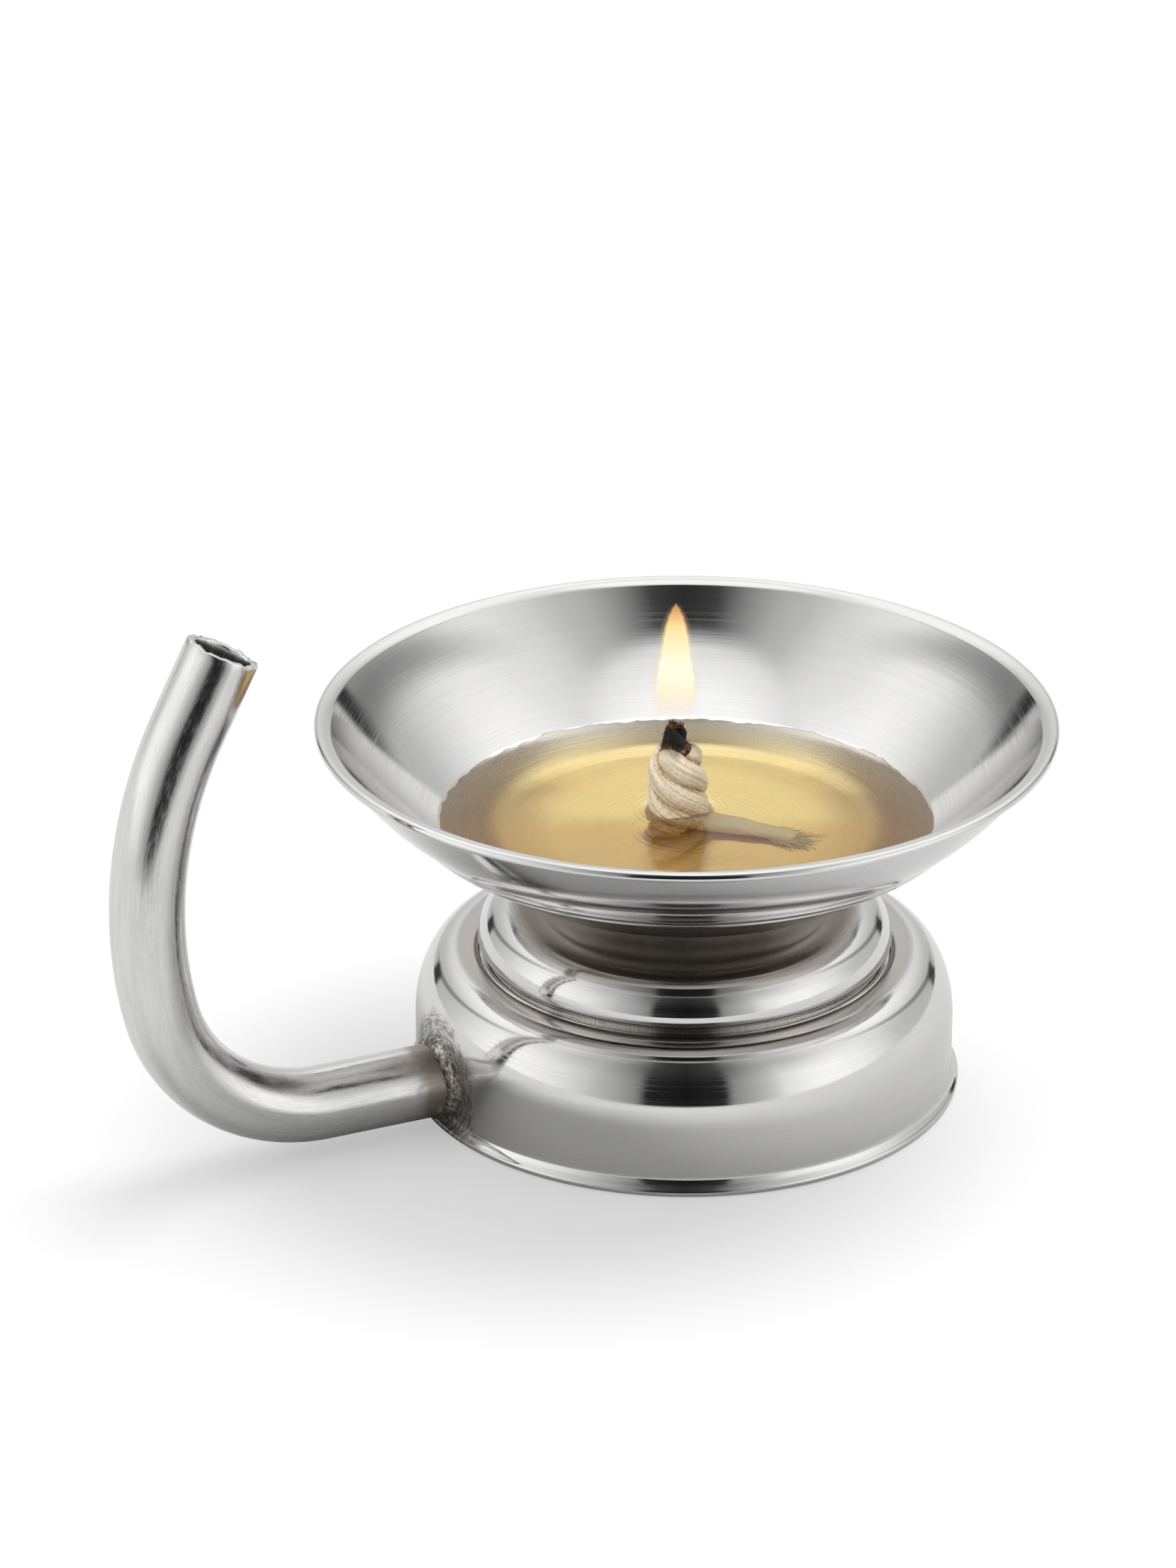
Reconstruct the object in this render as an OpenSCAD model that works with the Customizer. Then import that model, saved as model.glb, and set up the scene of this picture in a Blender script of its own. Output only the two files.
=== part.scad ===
// Hand-held oil lamp: a spun steel bowl on a two-tier base, with a bent tube as its handle.
// Millimetres. The origin is on the lamp's axis at the table, +Z is up, and the handle reaches to -X.

/* [Sheet] */
// Thickness of the spun sheet in the bowl and both tiers
sheet_t = 0.8; // [0.6:0.1:1.1]

/* [Bowl] */
// Outer diameter of the bowl's lip
bowl_d = 100; // [94:1:116]
// Height of the bowl, from the underside of its floor to the top of its lip
bowl_h = 20.3; // [18:0.1:26]
// Diameter of the flat part of the bowl's floor
bowl_floor_d = 48.6; // [38:0.2:52]
// Radius of the round heel between the floor and the lower ring
heel_r = 8; // [6:0.5:16]
// Slope of the lower ring under the bowl, from level
heel_slope = 33; // [30:1:36]
// Diameter of the lower crease under the bowl
crease_low_d = 71; // [69:1:73]
// Slope of the narrow ring between the two creases
ring_slope = 39.5; // [36:0.5:43]
// Width of the narrow ring between the lower crease and the upper one, where the flared wall starts
ring_w = 3.5; // [2.5:0.1:4.5]
// How far the narrow ring swells between its creases
ring_bulge = 0.3; // [0.1:0.1:0.5]
// How far the flared wall swells between the upper crease and the lip
wall_bulge = 0.7; // [0.3:0.05:1]

/* [Lip] */
// Width of the lip's flat top
lip_w = 1.8; // [1.4:0.1:2.4]
// Thickness of the lip's rolled edge
lip_t = 1.3; // [1.1:0.1:1.6]
// Slope of the lip's top, rising outwards
lip_slope = 12; // [4:1:20]

/* [Upper tier] */
// Outer diameter of the neck under the bowl
neck_d = 25; // [20:1:29]
// Height of the neck, from the crest of the bulge to the bowl
neck_h = 6.3; // [5:0.1:9]
// Depth of the dish round the neck, below the crest
dish_depth = 2; // [1.4:0.1:2.8]
// Radius of the round bulge, from its crest to its widest line
bulge_round = 5.5; // [4.6:0.1:6.4]
// Height of the bulge's widest line above the drum's shoulder
bulge_rise = 1.5; // [1.3:0.1:2.2]
// Depth of the groove under the bulge
groove_depth = 1; // [0.4:0.1:1.4]

/* [Lower tier] */
// Outer diameter of the drum's straight wall
drum_d = 73.5; // [66:0.5:82]
// Height of the top of the shoulder
shoulder_h = 19.4; // [17:0.2:22]
// Width of the shoulder's oval curve, in from the straight wall
shoulder_w = 5.4; // [4.4:0.1:6.4]
// Height of the shoulder's oval curve, down to the straight wall
shoulder_drop = 9.9; // [6:0.1:12]
// Width of the level brow, from the shoulder's curve in to the bulge's widest line
brow_w = 3.15; // [2.2:0.05:4.2]
// Depth of the recess that the upper tier stands in, below the shoulder
recess_depth = 1.3; // [0.8:0.1:1.8]
// Width of the ledge under the upper tier
ledge_w = 3.6; // [2.6:0.2:5]
// How far the flared foot stands out from the wall
foot_w = 0.95; // [0.7:0.05:1.6]
// Height of the flare above the table
foot_h = 2.8; // [2:0.1:3.6]
// Radius of the foot's rolled edge
foot_edge_r = 0.6; // [0.4:0.1:0.8]

/* [Handle] */
// Outer diameter of the handle's tube
tube_d = 10; // [9:0.5:10.5]
// Wall of the handle's tube
tube_wall = 1; // [0.6:0.1:1.6]
// Gap between the tube's level run and the table
run_gap = 1.3; // [1:0.1:2]
// Length of the level run, from the drum's wall to the start of the first bend
run_l = 16.75; // [12:0.25:24]
// Radius of the tight first bend, at the tube's middle
bend_r = 23.3; // [19:0.1:27]
// Angle of the first bend
bend_angle = 77; // [70:1:84]
// Radius of the long curve of the grip, at the tube's middle
grip_r = 59; // [50:1:70]
// Angle of the long curve of the grip
grip_angle = 40; // [30:1:44]
// Length of the straight end of the tube
end_l = 11; // [8:0.5:14]
// How far the weld bead stands out round the tube
weld_w = 1.2; // [0.8:0.1:1.3]

/* [Wick and oil] */
// Depth of the oil over the bowl's floor
oil_depth = 4.85; // [4.5:0.05:6.5]
// Distance of the wick from the lamp's axis, along X
wick_x = 0.5; // [-4:0.5:4]
// Distance of the wick from the lamp's axis, along Y
wick_y = 3; // [-4:0.5:4]
// Diameter of the twisted wick where it stands in the oil
wick_d = 8.6; // [7:0.2:10]
// Height above the floor at which the wick starts to narrow
narrow_h = 7; // [6.6:0.2:10]
// Diameter of the unburnt wick at its top
wick_top_d = 6.2; // [5:0.2:7]
// Height of the unburnt wick
wick_l = 13.8; // [12:0.2:16]
// Diameter of the burnt end where it starts
char_d = 4.4; // [3.4:0.2:5.4]
// Length of the burnt end
char_l = 4.4; // [3:0.2:6]
// Turn of the plies from the foot of the wick to the burnt end
ply_turn = 430; // [120:10:480]
// Length of the loose end on the bowl's floor
tail_l = 15; // [10:0.5:19]
// Diameter of the loose end where it leaves the wick
tail_d = 4; // [3.2:0.2:4.2]
// Direction of the loose end, seen from above
tail_angle = -48; // [-90:2:0]

/* [Hidden] */

$fn = 96;
// Sides of the round soft pieces
SOFT_FN = 20;
// Sides of the circles that shape the small weld bead
WELD_FN = 360;
// Points along one arc of a profile
ARC_STEPS = 12;
// Angle through which the sheet turns in below the bulge's widest line
turn_angle = 75;
// Height of the upper tier's straight seat, below the bulge
seat_h = 1.1;
// Width of the groove beside the seat, which the seam fills at its bottom
seam_w = 0.9;
// Height of the seam below its round top
seam_h = 0.35;
// Inner radius of the tightest folds in the sheet: between the recess and the brow, and below the bulge
fold_r = 0.1;
turn_fold_r = 0.3;
// Leg of the hidden weld at the top of the neck
neck_weld_w = 1.2;
// Gaps: oil to metal, oil to wick, ply to ply, and wick to floor
oil_gap = 0.1;
wick_gap = 0.2;
ply_gap = 0.1;
rest_gap = 0.05;
// Share of its diameter that is left at the end of the burnt stub and of the loose end
char_taper = 0.7;
tail_taper = 0.75;
PLIES = 3;
// Turn of the first ply at its foot, and rings along one ply
ply_start = 7;
PLY_ROWS = 36;
// How far neighbouring lengths of the tube run into each other, and how much finer every second one is drawn
tube_lap = 0.05;
tube_draw = 0.01;

bowl_r = bowl_d / 2;
drum_r = drum_d / 2;
neck_r = neck_d / 2;
tube_r = tube_d / 2;
bore_r = tube_r - tube_wall;
run_h = run_gap + tube_r;
run_reach = drum_r + run_l;

// Heights above the table, from the drum up to the lip
ledge_h = shoulder_h - recess_depth;
bulge_h = shoulder_h + bulge_rise;
crest_h = bulge_h + bulge_round;
bowl_floor_h = crest_h + neck_h;
floor_top = bowl_floor_h + sheet_t;
oil_h = floor_top + oil_depth;
rim_h = bowl_floor_h + bowl_h;

// Part of an oval as points, from its centre, half-width, half-height, first and last angle
function oval(c, w, h, a0, a1, steps = ARC_STEPS) =
    [for (i = [0:steps]) let (a = a0 + (a1 - a0) * i / steps) c + [w * cos(a), h * sin(a)]];

// Arc of a circle as points, from its centre, radius, first and last angle
function arc(c, r, a0, a1, steps = ARC_STEPS) = oval(c, r, r, a0, a1, steps);

// Arc from p to q that swells by s to the right of the way from p to q
function swell(p, q, s, steps = ARC_STEPS) =
    let (chord = norm(q - p),
         r = chord * chord / (8 * s) + s / 2,
         along = (q - p) / chord,
         left = [-along[1], along[0]],
         c = (p + q) / 2 + left * (r - s),
         first = atan2(p[1] - c[1], p[0] - c[0]),
         half = asin(chord / (2 * r)))
    arc(c, r, first, first + 2 * half, steps);

function left_of(p, q) = [p[1] - q[1], q[0] - p[0]] / norm(q - p);

// The path moved by t to its left, which turns the outside of a sheet into its inside
function beside(path, t) =
    [for (i = [0:len(path) - 1])
        let (last = len(path) - 1,
             before = left_of(path[max(i - 1, 0)], path[max(i, 1)]),
             behind = left_of(path[min(i, last - 1)], path[min(i + 1, last)]),
             middle = (before + behind) / norm(before + behind))
        path[i] + middle * t / (middle * before)];

function reversed(path) = [for (i = [len(path) - 1:-1:0]) path[i]];
function after_first(path) = [for (i = [1:len(path) - 1]) path[i]];

// Underside of the bowl, from its axis to the lip
heel_end = [bowl_floor_d / 2 + heel_r * sin(heel_slope), bowl_floor_h + heel_r * (1 - cos(heel_slope))];
crease_low = [crease_low_d / 2, heel_end[1] + (crease_low_d / 2 - heel_end[0]) * tan(heel_slope)];
crease_high = crease_low + ring_w * [1, tan(ring_slope)];
lip_c = [bowl_r - lip_t / 2, rim_h - lip_t / 2];
lip_along = [cos(lip_slope), sin(lip_slope)];
lip_up = [-lip_along[1], lip_along[0]];
lip_root = lip_c - lip_along * (lip_w - lip_t / 2);
wall_end = lip_root - lip_up * lip_t / 2;
bowl_under = concat(
    [[0, bowl_floor_h]],
    arc([bowl_floor_d / 2, bowl_floor_h + heel_r], heel_r, -90, heel_slope - 90),
    swell(crease_low, crease_high, ring_bulge, 6),
    after_first(swell(crease_high, wall_end, wall_bulge, 16)));

// Inside of the bowl, from its axis to the lip's top: the heel runs into one arc, without the creases
inside_heel_end = heel_end + [0, sheet_t];
inside_top = lip_root + lip_up * lip_t / 2;
inside_chord = inside_top - inside_heel_end;
inside_half = atan2(inside_chord[1], inside_chord[0]) - heel_slope;
inside_swell = norm(inside_chord) / 2 * tan(inside_half / 2);
bowl_inside = concat(
    [[0, floor_top]],
    arc([bowl_floor_d / 2, floor_top + heel_r], heel_r, -90, heel_slope - 90),
    after_first(swell(inside_heel_end, inside_top, inside_swell, 24)));

// Outside of the upper tier, from the top of the neck to its seat on the drum's ledge. The dish is an arc that
// leaves the neck upright, turns at its lowest line and meets the bulge's arc inside the crest.
bulge_r = drum_r - shoulder_w - brow_w;
crest_r = bulge_r - bulge_round;
seat_r = bulge_r - groove_depth;
turn_r = sheet_t + turn_fold_r;
dish_span = crest_r - neck_r + bulge_round;
arcs_r = dish_span + dish_depth - sqrt(2 * dish_span * dish_depth);
dish_r = arcs_r - bulge_round;
dish_turn = acos(1 - dish_depth / arcs_r);
cap_outside = concat(
    [[neck_r, bowl_floor_h]],
    arc([neck_r + dish_r, crest_h - dish_depth + dish_r], dish_r, 180, 270 + dish_turn, 16),
    after_first(arc([crest_r, bulge_h], bulge_round, 90 + dish_turn, 0, 20)),
    after_first(arc([bulge_r - turn_r, bulge_h], turn_r, 0, -turn_angle, 6)),
    [[seat_r, ledge_h + seat_h], [seat_r, ledge_h]]);

// Outside of the drum, from the inner edge of its ledge to the rolled edge of its foot
foot_r = drum_r + foot_w;
recess_r = seat_r + seam_w;
brow_edge_r = sheet_t + fold_r;
shoulder_c = [drum_r - shoulder_w, shoulder_h - shoulder_drop];
brim = foot_r - foot_edge_r - drum_r;
flare_h = foot_h - foot_edge_r;
flare_r = (brim * brim + flare_h * flare_h - foot_edge_r * foot_edge_r) / (2 * (foot_r - drum_r));
flare_angle = atan2(flare_h, flare_r - brim);
drum_sheet = concat(
    [[seat_r - ledge_w, ledge_h], [recess_r, ledge_h]],
    arc([recess_r + brow_edge_r, shoulder_h - brow_edge_r], brow_edge_r, 170, 90, 5),
    oval(shoulder_c, shoulder_w, shoulder_drop, 90, 0, 24),
    [[drum_r, foot_h]]);
drum_outside = concat(
    drum_sheet,
    after_first(arc([drum_r + flare_r, foot_h], flare_r, 180, 180 + flare_angle, 6)),
    after_first(arc([foot_r - foot_edge_r, foot_edge_r], foot_edge_r, flare_angle, -90, 8)));

// Middle line of the handle, in the XZ plane, seen with X to the left of the axis
bend_c = [-run_reach, run_h + bend_r];
bend_end = 270 - bend_angle;
grip_c = bend_c + (bend_r - grip_r) * [cos(bend_end), sin(bend_end)];
grip_end = bend_end - grip_angle;
end_start = grip_c + grip_r * [cos(grip_end), sin(grip_end)];
lap_angle = tube_lap / grip_r * 180 / PI;

// Plies of the wick: circles that touch each other all but the gap, inside the wick's diameter
ply_r = wick_d / 2 / (1 + 1 / cos(30));
ply_reach = ply_r / cos(30);
char_h = floor_top + rest_gap + wick_l;

// Share of its foot's width that the wick has at a height: full up to narrow_h, then eased to its top
function wick_share(h) =
    let (t = max(0, h - narrow_h) / (wick_l - narrow_h))
    1 + (wick_top_d / wick_d - 1) * (1 - cos(180 * t)) / 2;

// Ring of points of ply i at height h, with its middle turned round the wick
function ply_ring(i, h) =
    let (share = wick_share(h),
         turn = ply_start + 360 / PLIES * i - ply_turn * h / wick_l,
         middle = share * ply_reach * [cos(turn), sin(turn)],
         r = share * (ply_r - ply_gap / 2))
    [for (j = [0:SOFT_FN - 1])
        let (a = turn + 360 * j / SOFT_FN)
        [middle[0] + r * cos(a), middle[1] + r * sin(a), h]];

module oil_bowl() {
    color("gainsboro")
    rotate_extrude()
    polygon(concat(
        bowl_under,
        after_first(arc(lip_c, lip_t / 2, lip_slope - 90, lip_slope + 90, 10)),
        reversed(bowl_inside)));
}

module pedestal_cap() {
    color("lightgray")
    rotate_extrude()
    polygon(concat(cap_outside, reversed(beside(cap_outside, -sheet_t))));
}

module base_drum() {
    color("silver")
    rotate_extrude()
    polygon(concat(drum_outside, [[drum_r - sheet_t, 0]], reversed(beside(drum_sheet, -sheet_t))));
}

// The drum without its hollow, which cuts what is welded to its outside
module drum_block() {
    rotate_extrude()
    polygon(concat([[0, 0], [0, ledge_h]], drum_outside));
}

module tier_seam() {
    color("darkgray")
    rotate_extrude()
    polygon(concat(
        [[seat_r, ledge_h], [recess_r, ledge_h]],
        arc([seat_r + seam_w / 2, ledge_h + seam_h], seam_w / 2, 0, 180, 8)));
}

module neck_weld() {
    color("dimgray")
    rotate_extrude()
    polygon(concat(
        [[neck_r, bowl_floor_h]],
        arc([neck_r + neck_weld_w, bowl_floor_h - neck_weld_w], neck_weld_w, 180, 90, 6)));
}

module tube_section(drawn = 0) {
    difference() {
        circle(tube_r - drawn);
        circle(bore_r + drawn);
    }
}

// A bend of the tube in the XZ plane, about c, from angle first to angle last
module tube_bend(c, r, first, last, drawn = 0) {
    translate([c[0], 0, c[1]])
    rotate([90, 0, 0])
    rotate([0, 0, first])
    rotate_extrude(angle = last - first)
    translate([r, 0])
    tube_section(drawn);
}

module handle_tube() {
    color("silver")
    difference() {
        union() {
            translate([-run_reach - tube_lap, 0, run_h])
            rotate([0, 90, 0])
            linear_extrude(run_reach + tube_lap - drum_r + sheet_t)
            tube_section(tube_draw);
            tube_bend(bend_c, bend_r, bend_end, 270);
            tube_bend(grip_c, grip_r, grip_end - lap_angle, bend_end + lap_angle, tube_draw);
            translate([end_start[0], 0, end_start[1]])
            rotate([0, 180 - grip_end, 0])
            linear_extrude(end_l)
            tube_section();
        }
        drum_block();
    }
}

module handle_weld() {
    $fn = WELD_FN;
    color("dimgray")
    difference() {
        translate([-drum_r, 0, run_h])
        rotate([0, -90, 0])
        rotate_extrude()
        polygon(concat(
            [[tube_r, weld_w], [tube_r, -drum_r / 8], [tube_r + weld_w, -drum_r / 8]],
            arc([tube_r + weld_w, weld_w], weld_w, 270, 180, 6)));
        drum_block();
    }
}

module wick_ply(i) {
    points = [for (k = [0:PLY_ROWS]) each ply_ring(i, wick_l * k / PLY_ROWS)];
    sides = [for (k = [0:PLY_ROWS - 1]) for (j = [0:SOFT_FN - 1])
        let (a = k * SOFT_FN, b = a + SOFT_FN, next = (j + 1) % SOFT_FN)
        each [[a + j, b + j, b + next], [a + j, b + next, a + next]]];
    color("linen")
    translate([wick_x, wick_y, floor_top + rest_gap])
    polyhedron(points, concat(
        [[for (j = [0:SOFT_FN - 1]) j]],
        sides,
        [[for (j = [SOFT_FN - 1:-1:0]) PLY_ROWS * SOFT_FN + j]]));
}

module wick_ply_1() { wick_ply(0); }
module wick_ply_2() { wick_ply(1); }
module wick_ply_3() { wick_ply(2); }

module wick_char() {
    color("black")
    translate([wick_x, wick_y, char_h])
    linear_extrude(char_l, twist = ply_turn * char_l / wick_l, scale = char_taper, slices = 12, $fn = SOFT_FN)
    rotate(ply_start - ply_turn)
    scale(char_d / wick_d)
    for (i = [0:PLIES - 1]) {
        rotate(360 / PLIES * i)
        translate([ply_reach, 0])
        circle(ply_r + ply_gap);
    }
}

// The loose end as a cone that lies on the floor, grown by g all round
module tail_cone(g) {
    drop = atan2((1 - tail_taper) * tail_d / 2, tail_l);
    translate([wick_x, wick_y, floor_top + rest_gap + tail_d / 2])
    rotate([0, 0, tail_angle])
    translate([wick_d / 2 + ply_gap - g, 0, 0])
    rotate([0, 90 + drop, 0])
    cylinder(h = tail_l + 2 * g, d1 = tail_d + 2 * g, d2 = tail_d * tail_taper + 2 * g);
}

module wick_tail() {
    color("linen")
    tail_cone(0);
}

module oil() {
    color("goldenrod", 0.6)
    difference() {
        intersection() {
            rotate_extrude()
            polygon(concat(beside(bowl_inside, oil_gap), [[0, rim_h]]));
            cylinder(h = oil_h, r = bowl_r);
        }
        translate([wick_x, wick_y, floor_top])
        cylinder(h = wick_l, d = wick_d + 2 * wick_gap);
        tail_cone(wick_gap);
    }
}

oil_bowl();
pedestal_cap();
base_drum();
tier_seam();
neck_weld();
handle_tube();
handle_weld();
wick_ply_1();
wick_ply_2();
wick_ply_3();
wick_char();
wick_tail();
oil();
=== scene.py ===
"""Hand-held oil lamp: a spun steel bowl of oil with a burning wick, on a two-tier base with a bent tube handle.

The sizes below are in millimetres and are those of the solids. Every mesh is made in metres, in the solids' frame:
the origin is on the lamp's axis at the table, +Z is up, and the handle reaches to -X.
"""
import math
import random

import bmesh
import bpy
from mathutils import Matrix, Vector, noise


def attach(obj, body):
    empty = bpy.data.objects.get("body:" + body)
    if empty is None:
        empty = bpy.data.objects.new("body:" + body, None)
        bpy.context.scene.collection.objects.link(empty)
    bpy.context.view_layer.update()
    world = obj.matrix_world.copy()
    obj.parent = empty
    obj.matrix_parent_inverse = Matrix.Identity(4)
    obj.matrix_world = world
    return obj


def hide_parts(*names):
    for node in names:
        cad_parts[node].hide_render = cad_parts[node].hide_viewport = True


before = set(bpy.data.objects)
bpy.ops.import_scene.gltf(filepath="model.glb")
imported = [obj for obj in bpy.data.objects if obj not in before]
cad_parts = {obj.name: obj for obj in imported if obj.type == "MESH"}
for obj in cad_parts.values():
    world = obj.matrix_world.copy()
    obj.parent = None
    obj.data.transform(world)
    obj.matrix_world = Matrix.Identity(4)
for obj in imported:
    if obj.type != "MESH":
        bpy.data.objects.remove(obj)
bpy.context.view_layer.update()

MM = 0.001

# Angle about Z between the lamp and the studio: the handle points to the studio's left and a little to its front
TURN = math.radians(24.5)


# Sizes of the lamp.
SHEET = 0.8
BOWL_R = 50.0
FLOOR_H = 32.7
FLOOR_R = 24.3
HEEL_R = 8.0
HEEL_SLOPE = 33.0
CREASE_LOW_R = 35.5
RING_W = 3.5
RING_SLOPE = 39.5
RING_BULGE = 0.3
WALL_BULGE = 0.7
RIM_H = 53.0
LIP_W = 1.8
LIP_T = 1.3
LIP_SLOPE = 12.0

NECK_R = 12.5
DISH_DEPTH = 2.0
CREST_H = 26.4
BULGE_R = 28.2
BULGE_ROUND = 5.5
TURN_R = 1.1
TURN_ANGLE = 75.0
GROOVE_DEPTH = 1.0
SEAT_H = 1.1

DRUM_R = 36.75
SHOULDER_H = 19.4
SHOULDER_W = 5.4
SHOULDER_DROP = 9.9
LEDGE_H = 18.1
LEDGE_W = 3.6
FOOT_W = 0.95
FOOT_H = 2.8
FOOT_EDGE_R = 0.6
SEAM_W = 0.9

TUBE_R = 5.0
BORE_R = 4.0
RUN_H = 6.3
RUN_REACH = 53.5
BEND_R = 23.3
BEND_ANGLE = 77.0
GRIP_R = 59.0
GRIP_ANGLE = 40.0
END_L = 11.0

OIL_H = 38.35
WICK = (0.5, 3.0)
WICK_R = 4.3
WICK_L = 13.8
CHAR_L = 4.4
PLY_START = 7.0
PLY_TURN = 430.0
TAIL_L = 15.0
TAIL_R = 2.0
TAIL_ANGLE = -48.0
FLAME_H = 16.8

SEAT_R = BULGE_R - GROOVE_DEPTH
RECESS_R = SEAT_R + SEAM_W
FLOOR_TOP = FLOOR_H + SHEET


# Paths and profiles.
def polar(angle):
    a = math.radians(angle)
    return Vector((math.cos(a), math.sin(a)))


def oval(centre, half_width, half_height, first, last, steps=12):
    points = []
    for i in range(steps + 1):
        d = polar(first + (last - first) * i / steps)
        points.append(Vector(centre) + Vector((half_width * d.x, half_height * d.y)))
    return points


def arc(centre, radius, first, last, steps=12):
    return oval(centre, radius, radius, first, last, steps)


def swell(p, q, height, steps=12):
    """Arc from p to q that swells to the right of the way from p to q."""
    p, q = Vector(p), Vector(q)
    chord = (q - p).length
    radius = chord * chord / (8 * height) + height / 2
    along = (q - p) / chord
    centre = (p + q) / 2 + Vector((-along.y, along.x)) * (radius - height)
    first = math.degrees(math.atan2(p.y - centre.y, p.x - centre.x))
    half = math.degrees(math.asin(chord / (2 * radius)))
    return arc(centre, radius, first, first + 2 * half, steps)


def left_of(p, q):
    d = (q - p).normalized()
    return Vector((-d.y, d.x))


def beside(path, distance):
    """The path moved to its left, which turns one side of a sheet into the other."""
    moved = []
    last = len(path) - 1
    for i, point in enumerate(path):
        before = left_of(path[max(i - 1, 0)], path[max(i, 1)])
        behind = left_of(path[min(i, last - 1)], path[min(i + 1, last)])
        middle = (before + behind).normalized()
        moved.append(point + middle * distance / middle.dot(before))
    return moved


def eased(path, reach, closed=False):
    """The path with each real corner rounded over about twice the reach."""
    points = []
    count = len(path)
    for i, p in enumerate(path):
        if not closed and i in (0, count - 1):
            points.append(p)
            continue
        a, b = path[i - 1], path[(i + 1) % count]
        into, out = p - a, b - p
        if into.length < 1e-6 or out.length < 1e-6 or into.angle(out) < math.radians(7):
            points.append(p)
            continue
        start = p - into.normalized() * min(reach, into.length * 0.45)
        end = p + out.normalized() * min(reach, out.length * 0.45)
        for k in range(5):
            t = k / 4
            points.append(start * (1 - t) ** 2 + p * 2 * t * (1 - t) + end * t * t)
    return points


def bowl_outline():
    """The bowl's underside, its rim and its inside, each from the axis out. The inside has no creases."""
    slope = math.radians(HEEL_SLOPE)
    heel_end = Vector((FLOOR_R + HEEL_R * math.sin(slope), FLOOR_H + HEEL_R * (1 - math.cos(slope))))
    low = Vector((CREASE_LOW_R, heel_end.y + (CREASE_LOW_R - heel_end.x) * math.tan(slope)))
    high = low + RING_W * Vector((1, math.tan(math.radians(RING_SLOPE))))
    lip = Vector((BOWL_R - LIP_T / 2, RIM_H - LIP_T / 2))
    along = polar(LIP_SLOPE)
    up = Vector((-along.y, along.x))
    root = lip - along * (LIP_W - LIP_T / 2)
    under = ([Vector((0, FLOOR_H)), Vector((FLOOR_R / 2, FLOOR_H))]
             + arc((FLOOR_R, FLOOR_H + HEEL_R), HEEL_R, -90, HEEL_SLOPE - 90, 16)
             + swell(low, high, RING_BULGE, 8)
             + swell(high, root - up * LIP_T / 2, WALL_BULGE, 20)[1:])
    rim = arc(lip, LIP_T / 2, LIP_SLOPE - 90, LIP_SLOPE + 90, 14)[1:]
    heel_top = heel_end + Vector((0, SHEET))
    chord = root + up * LIP_T / 2 - heel_top
    height = chord.length / 2 * math.tan((math.atan2(chord.y, chord.x) - slope) / 2)
    inside = ([Vector((0, FLOOR_TOP)), Vector((FLOOR_R / 2, FLOOR_TOP))]
              + arc((FLOOR_R, FLOOR_TOP + HEEL_R), HEEL_R, -90, HEEL_SLOPE - 90, 16)
              + swell(heel_top, heel_top + chord, height, 36)[1:])
    return under, rim, inside


def cap_outside():
    """The upper tier: the neck, an arc for the dish, an arc for the bulge, and the turn in to the seat."""
    crest = BULGE_R - BULGE_ROUND
    middle = CREST_H - BULGE_ROUND
    span = crest - NECK_R + BULGE_ROUND
    arcs = span + DISH_DEPTH - math.sqrt(2 * span * DISH_DEPTH)
    dish = arcs - BULGE_ROUND
    turn = math.degrees(math.acos(1 - DISH_DEPTH / arcs))
    return ([Vector((NECK_R, FLOOR_H))]
            + arc((NECK_R + dish, CREST_H - DISH_DEPTH + dish), dish, 180, 270 + turn, 32)
            + arc((crest, middle), BULGE_ROUND, 90 + turn, 0, 48)[1:]
            + arc((BULGE_R - TURN_R, middle), TURN_R, 0, -TURN_ANGLE, 12)[1:]
            + [Vector((SEAT_R, LEDGE_H + SEAT_H)), Vector((SEAT_R, LEDGE_H))])


def drum_sheet():
    edge = SHEET + 0.1
    return ([Vector((SEAT_R - LEDGE_W, LEDGE_H)), Vector((RECESS_R, LEDGE_H))]
            + arc((RECESS_R + edge, SHOULDER_H - edge), edge, 170, 90, 8)
            + oval((DRUM_R - SHOULDER_W, SHOULDER_H - SHOULDER_DROP), SHOULDER_W, SHOULDER_DROP, 90, 0, 48)
            + [Vector((DRUM_R, FOOT_H))])


def drum_foot():
    brim = FOOT_W - FOOT_EDGE_R
    height = FOOT_H - FOOT_EDGE_R
    flare = (brim * brim + height * height - FOOT_EDGE_R ** 2) / (2 * FOOT_W)
    angle = math.degrees(math.atan2(height, flare - brim))
    return (arc((DRUM_R + flare, FOOT_H), flare, 180, 180 + angle, 12)[1:]
            + arc((DRUM_R + brim, FOOT_EDGE_R), FOOT_EDGE_R, angle, -90, 12)[1:])


# Meshes.
def finish_mesh(name, verts, faces, body, slot, *replaced, smooth=True):
    mesh = bpy.data.meshes.new(name)
    mesh.from_pydata([tuple(c * MM for c in v) for v in verts], [], faces)
    mesh.update()
    bm = bmesh.new()
    bm.from_mesh(mesh)
    bmesh.ops.recalc_face_normals(bm, faces=bm.faces)
    if bm.calc_volume(signed=True) < 0:
        bmesh.ops.reverse_faces(bm, faces=bm.faces)
    bm.to_mesh(mesh)
    bm.free()
    if smooth:
        mesh.shade_smooth()
    piece = bpy.data.objects.new(name, mesh)
    bpy.context.scene.collection.objects.link(piece)
    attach(piece, body)
    if replaced:
        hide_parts(*replaced)
    return piece


def grid_faces(rows, columns, close_rows=False, close_columns=True):
    """Faces of a grid of vertices that is stored row by row."""
    faces = []
    for i in range(rows if close_rows else rows - 1):
        for j in range(columns if close_columns else columns - 1):
            a, b = i * columns, (i + 1) % rows * columns
            k = (j + 1) % columns
            faces.append((a + j, a + k, b + k, b + j))
    return faces


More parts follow.
